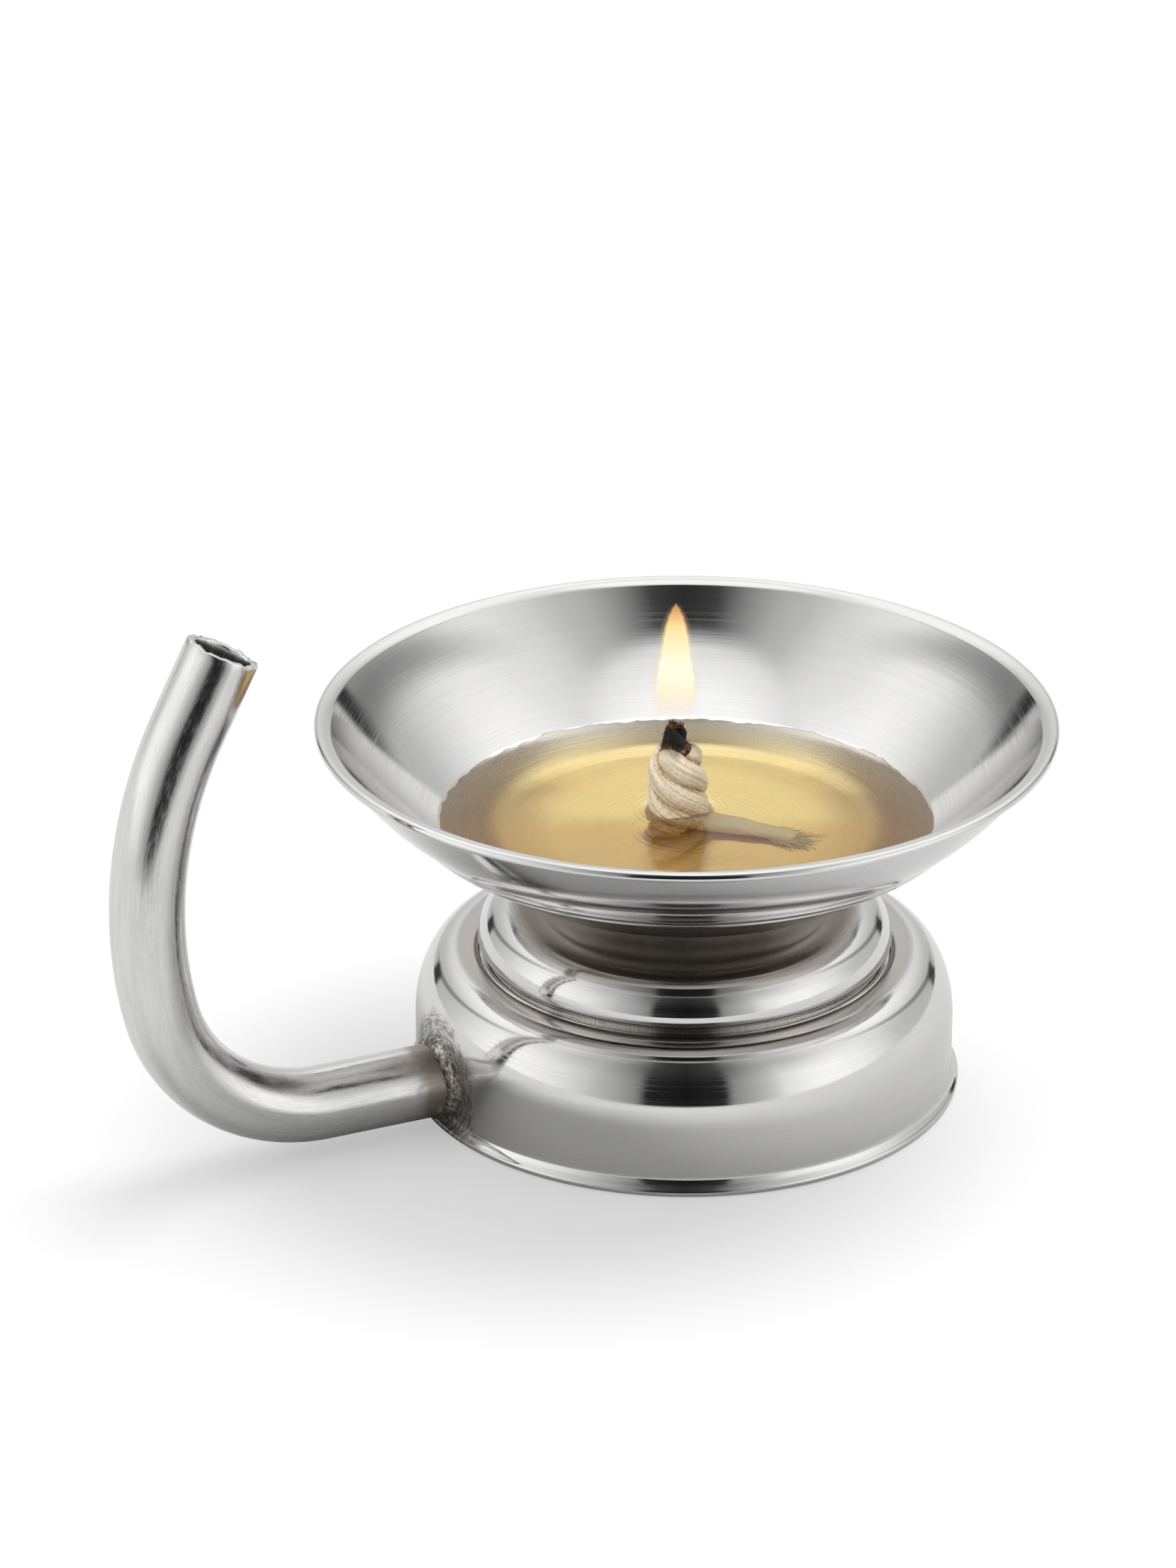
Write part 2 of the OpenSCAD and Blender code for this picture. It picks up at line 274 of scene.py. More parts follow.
def lathe(name, profile, slot, *replaced, sides=288, closed=True):
    """Turns a profile about the axis. A profile that isn't closed starts and ends on the axis."""
    rings = profile if closed else profile[1:-1]
    verts = []
    for p in rings:
        for j in range(sides):
            d = polar(360 * j / sides)
            verts.append((p.x * d.x, p.x * d.y, p.y))
    faces = grid_faces(len(rings), sides, close_rows=closed)
    if not closed:
        first, last = len(verts), len(verts) + 1
        verts += [(0, 0, profile[0].y), (0, 0, profile[-1].y)]
        end = (len(rings) - 1) * sides
        for j in range(sides):
            faces.append((first, (j + 1) % sides, j))
            faces.append((last, end + j, end + (j + 1) % sides))
    return finish_mesh(name, verts, faces, "lamp", slot, *replaced)


# Shader nodes.
def node(tree, kind, values=None, **settings):
    n = tree.nodes.new(kind)
    for key, value in settings.items():
        setattr(n, key, value)
    for key, value in (values or {}).items():
        if isinstance(value, bpy.types.NodeSocket):
            tree.links.new(value, n.inputs[key])
        else:
            n.inputs[key].default_value = value
    return n


def maths(tree, operation, a, b=0.0, c=0.0):
    return node(tree, "ShaderNodeMath", {0: a, 1: b, 2: c}, operation=operation).outputs[0]


def fade(tree, value, low, high, to_low=0.0, to_high=1.0):
    """Maps a value smoothly from low..high to to_low..to_high."""
    return node(
        tree, "ShaderNodeMapRange",
        {"Value": value, "From Min": low, "From Max": high, "To Min": to_low, "To Max": to_high},
        interpolation_type="SMOOTHSTEP").outputs[0]


def blend_colour(tree, factor, a, b, mode="MIX"):
    n = node(tree, "ShaderNodeMix", data_type="RGBA", blend_type=mode)
    for index, value in ((0, factor), (6, a), (7, b)):
        if isinstance(value, bpy.types.NodeSocket):
            tree.links.new(value, n.inputs[index])
        elif index == 0:
            n.inputs[index].default_value = value
        else:
            n.inputs[index].default_value = (*value, 1)
    return n.outputs[2]


def noise_at(tree, vector, scale, detail=4.0, roughness=0.5):
    return node(
        tree, "ShaderNodeTexNoise",
        {"Vector": vector, "Scale": scale, "Detail": detail, "Roughness": roughness}).outputs[0]


def new_material(name):
    material = bpy.data.materials.new(name)
    material.use_nodes = True
    tree = material.node_tree
    tree.nodes.clear()
    out = node(tree, "ShaderNodeOutputMaterial")
    place = node(tree, "ShaderNodeTexCoord").outputs["Object"]
    return material, tree, out, place


def along_axis(tree, place, x=1.0, y=1.0, z=1.0):
    """The place scaled along each axis, which stretches a pattern."""
    return node(tree, "ShaderNodeVectorMath", {0: place, 1: (x, y, z)}, operation="MULTIPLY").outputs[0]


def spun(tree, place, pitch):
    """A place that hardly changes round the axis, so that noise on it makes lines that run round a spun part."""
    flat = along_axis(tree, place, 1, 1, 0)
    radius = node(tree, "ShaderNodeVectorMath", {0: flat}, operation="LENGTH").outputs["Value"]
    split = node(tree, "ShaderNodeSeparateXYZ", {0: place})
    drift = maths(tree, "MULTIPLY", maths(tree, "ADD", split.outputs[0], split.outputs[1]), 0.006)
    return node(tree, "ShaderNodeCombineXYZ", {
        0: maths(tree, "MULTIPLY", radius, pitch),
        1: maths(tree, "MULTIPLY", split.outputs[2], pitch),
        2: maths(tree, "MULTIPLY", drift, pitch)}).outputs[0]


STEEL = (0.748, 0.744, 0.738)


def length_of(tree, vector):
    return node(tree, "ShaderNodeVectorMath", {0: vector}, operation="LENGTH").outputs["Value"]


def spun_steel(name, rough=0.06, lines=0.14, marks=None):
    """Steel with the fine lines of the spinning lathe, and the marks that one piece has of its own."""
    material, tree, out, place = new_material(name)
    fine = noise_at(tree, spun(tree, place, 5200), 1, 3, 0.6)
    broad = noise_at(tree, spun(tree, place, 900), 1, 2, 0.5)
    smudge = noise_at(tree, place, 60, 4, 0.6)
    tone = blend_colour(tree, fade(tree, smudge, 0.3, 0.7), STEEL, tuple(c * 0.96 for c in STEEL))
    rough_fine = fade(tree, fine, 0.45, 0.68, rough, rough * 2.6)
    rough_all = maths(tree, "ADD", rough_fine, fade(tree, smudge, 0.5, 0.8, 0, 0.03))
    relief = maths(tree, "ADD", fine, maths(tree, "MULTIPLY", broad, 0.5))
    tone = blend_colour(tree, fade(tree, fine, 0.35, 0.65, 0.0, 0.07), tone, (0.35, 0.34, 0.33))
    metal = 1.0
    if marks:
        tone, rough_all, relief, metal = marks(tree, place, tone, rough_all, relief)
    bump = node(tree, "ShaderNodeBump", {"Height": relief, "Strength": lines, "Distance": 0.00002})
    shader = node(tree, "ShaderNodeBsdfPrincipled", {
        "Base Color": tone, "Metallic": metal, "Roughness": rough_all, "Anisotropic": 0.5,
        "Normal": bump.outputs[0],
        "Tangent": node(tree, "ShaderNodeTangent", direction_type="RADIAL", axis="Z").outputs[0]})
    tree.links.new(shader.outputs[0], out.inputs["Surface"])
    return material


def dull_shaded_dish(tree, place, tone, rough, relief):
    """The dish under the bowl was never polished: it is rougher. Its colour is painted darker and browner with shade
    under the bowl, and near-black at the neck with a painted shadow of the bowl.
    """
    out_from = maths(tree, "ADD", length_of(tree, along_axis(tree, place, 1, 1, 0)), maths(
        tree, "MULTIPLY", noise_at(tree, place, 260, 3, 0.6), 0.001))
    # Painted shade under the bowl: this mask makes the dish rougher and also paints it darker and browner
    dull_and_shaded = fade(tree, out_from, 0.0258, 0.0226)
    tone = blend_colour(tree, maths(tree, "MULTIPLY", dull_and_shaded, 0.9), tone, (0.68, 0.63, 0.575))
    # Painted shadow of the bowl: the neck is painted near-black
    tone = blend_colour(tree, fade(tree, out_from, 0.0165, 0.0130), tone, (0.13, 0.115, 0.10))
    return tone, maths(tree, "ADD", rough, maths(tree, "MULTIPLY", dull_and_shaded, 0.36)), relief, 1.0


def weld_scratches(tree, place, tone, rough, relief):
    """The ground patch on the drum round the weld of the handle, with lines that run round the tube, and painted shade
    on the brow under the upper tier.
    """
    from_weld = along_axis(tree, node(tree, "ShaderNodeVectorMath", {
        0: place, 1: (0, 0, (RUN_H - 1.3) * MM)}, operation="SUBTRACT").outputs[0], 0, 1, 0.92)
    away = length_of(tree, from_weld)
    ragged = maths(tree, "ADD", away, maths(tree, "MULTIPLY", maths(
        tree, "SUBTRACT", noise_at(tree, place, 420, 4, 0.65), 0.5), 0.0026))
    split = node(tree, "ShaderNodeSeparateXYZ", {0: place})
    patch = maths(tree, "MULTIPLY", fade(tree, ragged, 0.0100, 0.0088), fade(tree, split.outputs[0], -0.03, -0.031))
    turn = node(tree, "ShaderNodeSeparateXYZ", {0: from_weld})
    angle = maths(tree, "ARCTAN2", turn.outputs[1], turn.outputs[2])
    line_place = node(tree, "ShaderNodeCombineXYZ", {
        0: maths(tree, "MULTIPLY", away, 4000), 1: maths(tree, "MULTIPLY", angle, 6), 2: 0.3}).outputs[0]
    line = noise_at(tree, line_place, 1, 3, 0.7)
    scratched = blend_colour(tree, fade(tree, line, 0.36, 0.64), (0.18, 0.168, 0.152), (0.74, 0.72, 0.69))
    tone = blend_colour(tree, maths(tree, "MULTIPLY", patch, 0.9), tone, scratched)
    rough = maths(tree, "ADD", rough, maths(tree, "MULTIPLY", patch, 0.22))
    relief = maths(tree, "ADD", relief, maths(tree, "MULTIPLY", maths(tree, "MULTIPLY", line, patch), 14))
    # The brow round the upper tier is a little rougher than the shoulder, and painted darker and browner with the shade
    # of the recess under the upper tier
    out_from = length_of(tree, along_axis(tree, place, 1, 1, 0))
    brow = maths(tree, "MULTIPLY", fade(tree, out_from, 0.0316, 0.0306), fade(tree, split.outputs[2], 0.015, 0.016))
    tone = blend_colour(tree, maths(tree, "MULTIPLY", brow, 0.8), tone, (0.44, 0.405, 0.37))
    rough = maths(tree, "ADD", rough, maths(tree, "MULTIPLY", brow, 0.05))
    return tone, rough, relief, 1.0


def wet_bowl(tree, place, tone, rough, relief):
    """Under the oil the bowl is rougher everywhere and less metallic towards the oil's edge. Its colour there is
    painted: a painted glow of the flame near the wick, darker and browner out to the oil's edge, painted light towards
    the back and painted shade towards the front. The downward-facing underside near the floor is painted darker with
    shade.
    """
    split = node(tree, "ShaderNodeSeparateXYZ", {0: place})
    facing = node(tree, "ShaderNodeSeparateXYZ", {0: node(tree, "ShaderNodeNewGeometry").outputs["Normal"]})
    inside_face = fade(tree, facing.outputs[2], 0.05, 0.2)
    # Painted shade under the bowl: the downward-facing underside near the floor is painted darker
    heel = maths(tree, "MULTIPLY", fade(tree, facing.outputs[2], -0.2, -0.35), fade(
        tree, length_of(tree, along_axis(tree, place, 1, 1, 0)), 0.0362, 0.0348))
    tone = blend_colour(tree, heel, tone, (0.50, 0.47, 0.435))
    wet = maths(tree, "MULTIPLY", inside_face, fade(tree, split.outputs[2], OIL_H * MM, (OIL_H - 0.2) * MM))
    out_from = length_of(tree, along_axis(tree, place, 1, 1, 0))
    # Painted glow of the flame: bright near the wick, darker and browner out to the oil's edge
    oil_floor_glow_and_shade = blend_colour(tree, fade(tree, out_from, 0.0175, 0.0248), (1.0, 0.985, 0.93), (0.64, 0.555, 0.475))
    # Painted light and shade: lighter towards the back of the studio, and browner towards the front, where the bowl's
    # front wall shades the oil
    across = maths(tree, "ADD", maths(tree, "MULTIPLY", split.outputs[0], 0.415), maths(
        tree, "MULTIPLY", split.outputs[1], 0.91))
    across = maths(tree, "ADD", across, maths(tree, "MULTIPLY", noise_at(tree, place, 75, 3), 0.014))
    clean_and_lit_back = fade(tree, across, 0.018, 0.029)
    painted_front_shade = fade(tree, across, 0.0145, 0.0045)
    oil_floor_glow_and_shade = blend_colour(tree, clean_and_lit_back, oil_floor_glow_and_shade, (1.0, 0.96, 0.90))
    oil_floor_glow_and_shade = blend_colour(tree, maths(tree, "MULTIPLY", painted_front_shade, 0.8), oil_floor_glow_and_shade, (0.72, 0.57, 0.40))
    tone = blend_colour(tree, wet, tone, oil_floor_glow_and_shade)
    haze = maths(tree, "MULTIPLY", wet, fade(tree, out_from, 0.012, 0.03, 0.05, 0.18))
    relief = maths(tree, "ADD", relief, maths(tree, "MULTIPLY", maths(tree, "MULTIPLY", noise_at(
        tree, spun(tree, place, 2100), 1, 3, 0.7), wet), 4))
    filmed = maths(tree, "MULTIPLY", fade(tree, out_from, 0.017, 0.027, 0.12, 0.5), maths(
        tree, "SUBTRACT", 1, maths(tree, "MULTIPLY", clean_and_lit_back, 0.7)))
    metal = maths(tree, "SUBTRACT", 1, maths(tree, "MULTIPLY", wet, filmed))
    return tone, maths(tree, "ADD", rough, haze), relief, metal


def oil_material():
    material, tree, out, place = new_material("lamp_oil")
    shader = node(tree, "ShaderNodeBsdfPrincipled", {
        "Base Color": (1, 1, 1, 1), "Roughness": 0.0, "IOR": 1.47, "Transmission Weight": 1.0})
    inside = node(tree, "ShaderNodeVolumeAbsorption", {"Color": (0.985, 0.80, 0.04, 1), "Density": 112.0})
    tree.links.new(shader.outputs[0], out.inputs["Surface"])
    tree.links.new(inside.outputs[0], out.inputs["Volume"])
    return material


# Metal pieces.
under, rim, inside = bowl_outline()
bowl = lathe("bowl", eased(under + rim, 0.3) + inside[::-1],
             "polished_steel", "oil_bowl", closed=False)
bowl.data.materials.append(spun_steel("bowl_steel", marks=wet_bowl))

outside = cap_outside()
cap = lathe("dished_cap", eased(outside, 0.35) + eased(beside(outside, -SHEET), 0.3)[::-1],
            "polished_steel", "pedestal_cap")
cap.data.materials.append(spun_steel("cap_steel", marks=dull_shaded_dish))

sheet = drum_sheet()
drum = lathe("drum", eased(sheet + drum_foot(), 0.25) + [Vector((DRUM_R - SHEET, 0))]
             + beside(sheet, -SHEET)[::-1], "polished_steel", "base_drum")
drum.data.materials.append(spun_steel("drum_steel", marks=weld_scratches))


def handle_line():
    """Middle line of the handle in the XZ plane, from inside the drum's wall to the mouth."""
    bend = Vector((-RUN_REACH, RUN_H + BEND_R))
    bend_end = 270 - BEND_ANGLE
    grip = bend + (BEND_R - GRIP_R) * polar(bend_end)
    grip_end = bend_end - GRIP_ANGLE
    start = grip + GRIP_R * polar(grip_end)
    on = Vector((math.sin(math.radians(grip_end)), -math.cos(math.radians(grip_end))))
    line = [Vector((-DRUM_R + 0.6 - (RUN_REACH - DRUM_R + 0.6) * i / 16, RUN_H)) for i in range(16)]
    line += arc(bend, BEND_R, 270, bend_end, 40)
    line += arc(grip, GRIP_R, bend_end, grip_end, 40)[1:]
    line += [start + on * END_L * i / 10 for i in range(1, 11)]
    return line


def handle():
    line = handle_line()
    sides = 72
    verts, grain = [], []
    rings = 0
    last = len(line) - 1
    reach = [0.0]
    for p, q in zip(line, line[1:]):
        reach.append(reach[-1] + (q - p).length)
    normals = [left_of(line[max(i - 1, 0)], line[min(i + 1, last)]) for i in range(last + 1)]
    on = (line[last] - line[last - 1]).normalized()

    def ring(i, radius, back=0.0, rough=0.0):
        for j in range(sides):
            d = polar(360 * j / sides)
            p = line[i] + normals[i] * radius * d.x - on * back
            y = radius * d.y
            if rough:
                p = p + on * rough * noise.noise(Vector((d.x * 3.1, d.y * 3.1, 4.2)))
                p = p + on * rough * 0.6 * noise.noise(Vector((d.x * 11, d.y * 11, 1.2)))
            verts.append((p.x, y, p.y))
            grain.extend((reach[i], radius * d.x, radius * d.y))

    for i in range(last):
        ring(i, TUBE_R)
        rings += 1
    for radius, back in ((TUBE_R, 0.25), (TUBE_R - 0.06, 0.06), (TUBE_R - 0.2, 0.0), (TUBE_R - 0.5, 0.02),
                         (BORE_R + 0.25, 0.0), (BORE_R + 0.06, 0.08), (BORE_R, 0.3)):
        ring(last, radius, back, 0.3)
        rings += 1
    for i in range(last - 1, -1, -1):
        ring(i, BORE_R)
        rings += 1
    piece = finish_mesh("handle", verts, grid_faces(rings, sides, close_rows=True), "lamp", "tube_steel",
                        "handle_tube")
    layer = piece.data.attributes.new("grain", "FLOAT_VECTOR", "POINT")
    layer.data.foreach_set("vector", grain)
    return piece


def tube_material():
    """Drawn tube: grain along it, smudges, and heat colours where it was welded."""
    material, tree, out, place = new_material("tube_steel")
    grain = node(tree, "ShaderNodeAttribute", attribute_name="grain").outputs["Vector"]
    fine = noise_at(tree, along_axis(tree, grain, 0.5, 5, 5), 1, 3, 0.65)
    streak = noise_at(tree, along_axis(tree, grain, 0.12, 1.3, 1.3), 1, 3, 0.6)
    smudge = noise_at(tree, place, 150, 4, 0.6)
    tone = blend_colour(tree, fade(tree, streak, 0.3, 0.7), STEEL, tuple(c * 0.9 for c in STEEL))
    along = maths(tree, "ADD", node(tree, "ShaderNodeSeparateXYZ", {0: grain}).outputs[0], maths(
        tree, "MULTIPLY", maths(tree, "SUBTRACT", noise_at(tree, place, 330, 4, 0.7), 0.5), 5.0))
    straw = fade(tree, along, 8.5, 4.0)
    tone = blend_colour(tree, maths(tree, "MULTIPLY", straw, 0.55), tone, (0.62, 0.58, 0.53))
    burnt = fade(tree, along, 6.0, 2.8)
    tone = blend_colour(tree, maths(tree, "MULTIPLY", burnt, 0.85), tone, (0.25, 0.215, 0.18))
    rough = maths(tree, "ADD", fade(tree, fine, 0.4, 0.7, 0.15, 0.28), fade(tree, smudge, 0.4, 0.8, 0, 0.06))
    rough = maths(tree, "ADD", rough, maths(tree, "MULTIPLY", straw, 0.12))
    bump = node(tree, "ShaderNodeBump", {
        "Height": maths(tree, "ADD", fine, smudge), "Strength": 0.15, "Distance": 0.00003})
    shader = node(tree, "ShaderNodeBsdfPrincipled", {
        "Base Color": tone, "Metallic": 1.0, "Roughness": rough, "Normal": bump.outputs[0]})
    tree.links.new(shader.outputs[0], out.inputs["Surface"])
    return material


tube = handle()
tube.data.materials.append(tube_material())


def drum_radius(height):
    """Radius of the drum's outside at a height."""
    rise = max(0.0, height - SHOULDER_H + SHOULDER_DROP) / SHOULDER_DROP
    return DRUM_R - SHOULDER_W + SHOULDER_W * math.sqrt(max(0.0, 1 - rise * rise))


def weld_bead():
    """The ragged bead round the tube's end. Each section runs from the tube out to the drum's wall."""
    around, across = 180, 16
    verts = []
    for j in range(around):
        d = polar(360 * j / around)
        wide = 1.25 + 0.4 * noise.noise(Vector((d.x * 1.7, d.y * 1.7, 5.1)))
        wide += 0.2 * noise.noise(Vector((d.x * 5, d.y * 5, 2.2)))
        high = 1.35 + 0.4 * noise.noise(Vector((d.x * 1.9, d.y * 1.9, 9.4)))
        high = high * (1 - 0.3 * max(0.0, -d.y))
        for i in range(across + 1):
            bend = math.radians(90 * i / across)
            lump = 0.08 * noise.noise(Vector((d.x * 8, d.y * 8, i * 0.3)))
            lump += 0.04 * noise.noise(Vector((d.x * 22, d.y * 22, i * 0.8)))
            back = (wide + lump) * math.cos(bend) ** 1.25 + 0.02
            radius = TUBE_R + (high + lump) * math.sin(bend) ** 1.25
            y, z = radius * d.x, RUN_H + radius * d.y
            verts.append((-math.sqrt(drum_radius(z) ** 2 - y * y) - back, y, z))
        for back, radius in ((-0.4, TUBE_R + high), (-0.4, TUBE_R - 0.3), (wide, TUBE_R - 0.3)):
            y, z = radius * d.x, RUN_H + radius * d.y
            verts.append((-math.sqrt(drum_radius(z) ** 2 - y * y) - back, y, z))
    return finish_mesh("handle_bead", verts, grid_faces(around, across + 4, close_rows=True), "lamp",
                       "weld_steel", "handle_weld")


def weld_material(name):
    """Weld metal: ground bright in lines that run round the tube, brown with heat between, and pitted."""
    material, tree, out, place = new_material(name)
    mottle = noise_at(tree, place, 900, 5, 0.7)
    speck = noise_at(tree, place, 2300, 4, 0.7)
    split = node(tree, "ShaderNodeSeparateXYZ", {0: place})
    heat = maths(tree, "ADD", mottle, fade(tree, split.outputs[0], -0.0366, -0.038, 0, 0.13))
    up = maths(tree, "SUBTRACT", split.outputs[2], RUN_H * MM)
    angle = maths(tree, "ARCTAN2", split.outputs[1], up)
    line = noise_at(tree, node(tree, "ShaderNodeCombineXYZ", {
        0: maths(tree, "MULTIPLY", split.outputs[0], 4200), 1: maths(tree, "MULTIPLY", angle, 7),
        2: maths(tree, "MULTIPLY", length_of(tree, along_axis(tree, place, 0, 1, 1)), 2400)}).outputs[0], 1, 3, 0.7)
    tone = blend_colour(tree, fade(tree, line, 0.4, 0.64), (0.17, 0.152, 0.13), (0.76, 0.74, 0.70))
    tone = blend_colour(tree, fade(tree, heat, 0.48, 0.68, 0.0, 0.9), tone, (0.13, 0.098, 0.072))
    bump = node(tree, "ShaderNodeBump", {
        "Height": maths(tree, "ADD", maths(tree, "ADD", mottle, line), maths(tree, "MULTIPLY", speck, 0.4)),
        "Strength": 0.5, "Distance": 0.0001})
    shader = node(tree, "ShaderNodeBsdfPrincipled", {
        "Base Color": tone, "Metallic": 1.0, "Roughness": fade(tree, speck, 0.35, 0.65, 0.25, 0.5),
        "Normal": bump.outputs[0]})
    tree.links.new(shader.outputs[0], out.inputs["Surface"])
    return material


bead = weld_bead()
bead.data.materials.append(weld_material("weld_steel"))


def seam_material():
    """The rolled seam between the tiers: bright steel with fine marks across it, and dark specks of dirt."""
    material, tree, out, place = new_material("seam_steel")
    split = node(tree, "ShaderNodeSeparateXYZ", {0: place})
    angle = maths(tree, "ARCTAN2", split.outputs[1], split.outputs[0])
    marks = noise_at(tree, node(tree, "ShaderNodeCombineXYZ", {
        0: maths(tree, "MULTIPLY", angle, 90), 1: maths(tree, "MULTIPLY", split.outputs[2], 900)}).outputs[0], 1, 3)
    dirt = noise_at(tree, place, 800, 4, 0.7)
    tone = blend_colour(tree, fade(tree, marks, 0.35, 0.6), (0.60, 0.575, 0.54), (0.72, 0.70, 0.675))
    tone = blend_colour(tree, fade(tree, dirt, 0.56, 0.74, 0.0, 0.7), tone, (0.26, 0.235, 0.21))
    bump = node(tree, "ShaderNodeBump", {"Height": marks, "Strength": 0.12, "Distance": 0.00003})
    shader = node(tree, "ShaderNodeBsdfPrincipled", {
        "Base Color": tone, "Metallic": 1.0, "Roughness": fade(tree, marks, 0.3, 0.7, 0.12, 0.2),
        "Normal": bump.outputs[0]})
    tree.links.new(shader.outputs[0], out.inputs["Surface"])
    return material


for name, material in (("tier_seam", seam_material()), ("neck_weld", weld_material("neck_weld_steel"))):
    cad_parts[name].data.materials.clear()
    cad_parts[name].data.materials.append(material)


# Oil.
def oil_edge(angle):
    """The wetting line on the wall, as a share of the way up the oil's own level: it is ragged, as oil creeps."""
    d = polar(angle)
    creep = noise.noise(Vector((d.x * 2.2, d.y * 2.2, 3.7))) + 0.6 * noise.noise(Vector((d.x * 9, d.y * 9, 8.1)))
    fine = noise.noise(Vector((d.x * 30, d.y * 30, 2.3)))
    return 0.1 + 0.62 * max(0.0, creep) + 0.17 * fine


def wall_at(height):
    """Radius of the bowl's inside at a height."""
    for p, q in zip(inside, inside[1:]):
        if p.y <= height <= q.y and q.y > p.y:
            return p.x + (q.x - p.x) * (height - p.y) / (q.y - p.y)
    return BOWL_R


def oil_pool():
    sides = 240
    inner = [p for p in inside if p.y < OIL_H - 0.6]
    verts = []
    for p in inner[1:]:
        for j in range(sides):
            d = polar(360 * j / sides)
            verts.append((p.x * d.x, p.x * d.y, p.y - 0.03))
    bottom_rings = len(inner) - 1
    # The top runs from the wetting line in to the wick, where it creeps up the cotton as well
    shares = [1.0, 0.997, 0.99, 0.98, 0.965, 0.945, 0.92, 0.88, 0.8, 0.7, 0.6, 0.5, 0.4, 0.34, 0.3]
    shares += [0.28 - 0.004 * i for i in range(45)] + [0.08, 0.04]
    centre = Vector(WICK)
    for share in shares:
        for j in range(sides):
            angle = 360 * j / sides
            d = polar(angle)
            rise = oil_edge(angle)
            edge = d * wall_at(OIL_H - 0.45 + rise)
            place = centre + (edge - centre) * share
            from_edge = (edge - place).length
            from_wick = max(0.0, (place - centre).length - WICK_R * 0.96)
            height = OIL_H - 0.45 + rise * math.exp(-from_edge / 0.55) + 0.6 * math.exp(-from_wick / 0.6)
            height += 0.022 * math.sin(from_wick * 7.5) * math.exp(-((from_wick - 1.9) / 0.9) ** 2)
            verts.append((place.x, place.y, height))
    rings = bottom_rings + len(shares)
    faces = grid_faces(rings, sides)
    first, last = len(verts), len(verts) + 1
    verts += [(0, 0, inner[0].y - 0.03), (centre.x, centre.y, OIL_H + 0.42)]
    end = (rings - 1) * sides
    for j in range(sides):
        faces.append((first, (j + 1) % sides, j))
        faces.append((last, end + j, end + (j + 1) % sides))
    return finish_mesh("oil_pool", verts, faces, "lamp", "lamp_oil", "oil")


pool = oil_pool()
pool.data.materials.append(oil_material())


# Wick.
def wick_middle(height):
    """The wick's middle line at a height: it leans a little to the studio's left."""
    t = (height - FLOOR_TOP) / WICK_L
    lean = 0.5 * min(t, 1.0) ** 1.5 + (0.45 * (t - 1) / 0.33 if t > 1 else 0.0)
    return Vector((WICK[0] - lean * math.cos(TURN), WICK[1] + lean * math.sin(TURN)))


def eased_between(points, x):
    """Value at x of a smooth curve through a few (x, value) points."""
    if x <= points[0][0]:
        return points[0][1]
    for (a, va), (b, vb) in zip(points, points[1:]):
        if x <= b:
            t = (x - a) / (b - a)
            return va + (vb - va) * (3 * t * t - 2 * t ** 3)
    return points[-1][1]


# Outer radius of the twisted wick at heights above the bowl's floor
WICK_SHAPE = ((0.0, 4.3), (7.5, 4.25), (10.5, 3.9), (12.4, 3.45), (13.8, 2.0), (15.2, 1.7), (18.2, 1.15))


def ply_path(index, first, last, steps):
    """Middle line of one ply, with its radius, from one height above the floor to another."""
    path = []
    for i in range(steps + 1):
        h = first + (last - first) * i / steps
        outer = eased_between(WICK_SHAPE, h)
        outer *= 1 + 0.05 * noise.noise(Vector((h * 0.35, index * 5.2, 0)))
        radius = outer / 2.1547 * 1.06
        reach = (outer - radius) * (1 + 0.05 * noise.noise(Vector((h * 0.5, index * 3.1, 4))))
        angle = PLY_START + 120 * index - PLY_TURN * h / WICK_L
        middle = wick_middle(FLOOR_TOP + h)
        d = polar(angle)
        path.append((Vector((middle.x + d.x * reach, middle.y + d.y * reach, FLOOR_TOP + 0.05 + h)), radius, d))
    return path


def strand_frames(points, up):
    """Frames along a line: the way on, and two directions across it, of which the first stays near a given one."""
    frames = []
    for i, p in enumerate(points):
        on = (points[min(i + 1, len(points) - 1)] - points[max(i - 1, 0)]).normalized()
        across = (up[i] - on * up[i].dot(on)).normalized()
        frames.append((p, on, across, on.cross(across)))
    return frames


def twisted_tube(frames, radii, sides, seed, twist, ridge=0.1, rough=0.07, squeeze=None):
    """Skin of a bundle of fibres: ridges that wind round it, and small lumps. Returns vertices and shades."""
    verts, shades = [], []
    length = 0.0
    for i, (p, on, a, b) in enumerate(frames):
        if i:
            length += (p - frames[i - 1][0]).length
        for j in range(sides):
            angle = 2 * math.pi * j / sides
            wound = angle - twist * length
            strand = math.sin(9 * wound + seed) * 0.5 + math.sin(17 * wound + seed * 3) * 0.3
            fibre = noise.noise(Vector((math.cos(wound) * 9, math.sin(wound) * 9, length * 0.22 + seed)))
            hair = noise.noise(Vector((math.cos(wound) * 26, math.sin(wound) * 26, length * 0.5 + seed)))
            lump = noise.noise(Vector((math.cos(angle) * 1.3, math.sin(angle) * 1.3, length * 0.45 + seed)))
            r = radii[i] * (1 + ridge * (0.3 * strand + 0.6 * fibre + 0.35 * hair) + rough * lump)
            x, y = math.cos(angle) * r, math.sin(angle) * r
            if squeeze:
                x, y = x * squeeze[i][0], y * squeeze[i][1]
            verts.append(p + a * x + b * y)
            shades.append(0.5 + 0.3 * fibre + 0.32 * hair + 0.12 * strand)
    return verts, shades


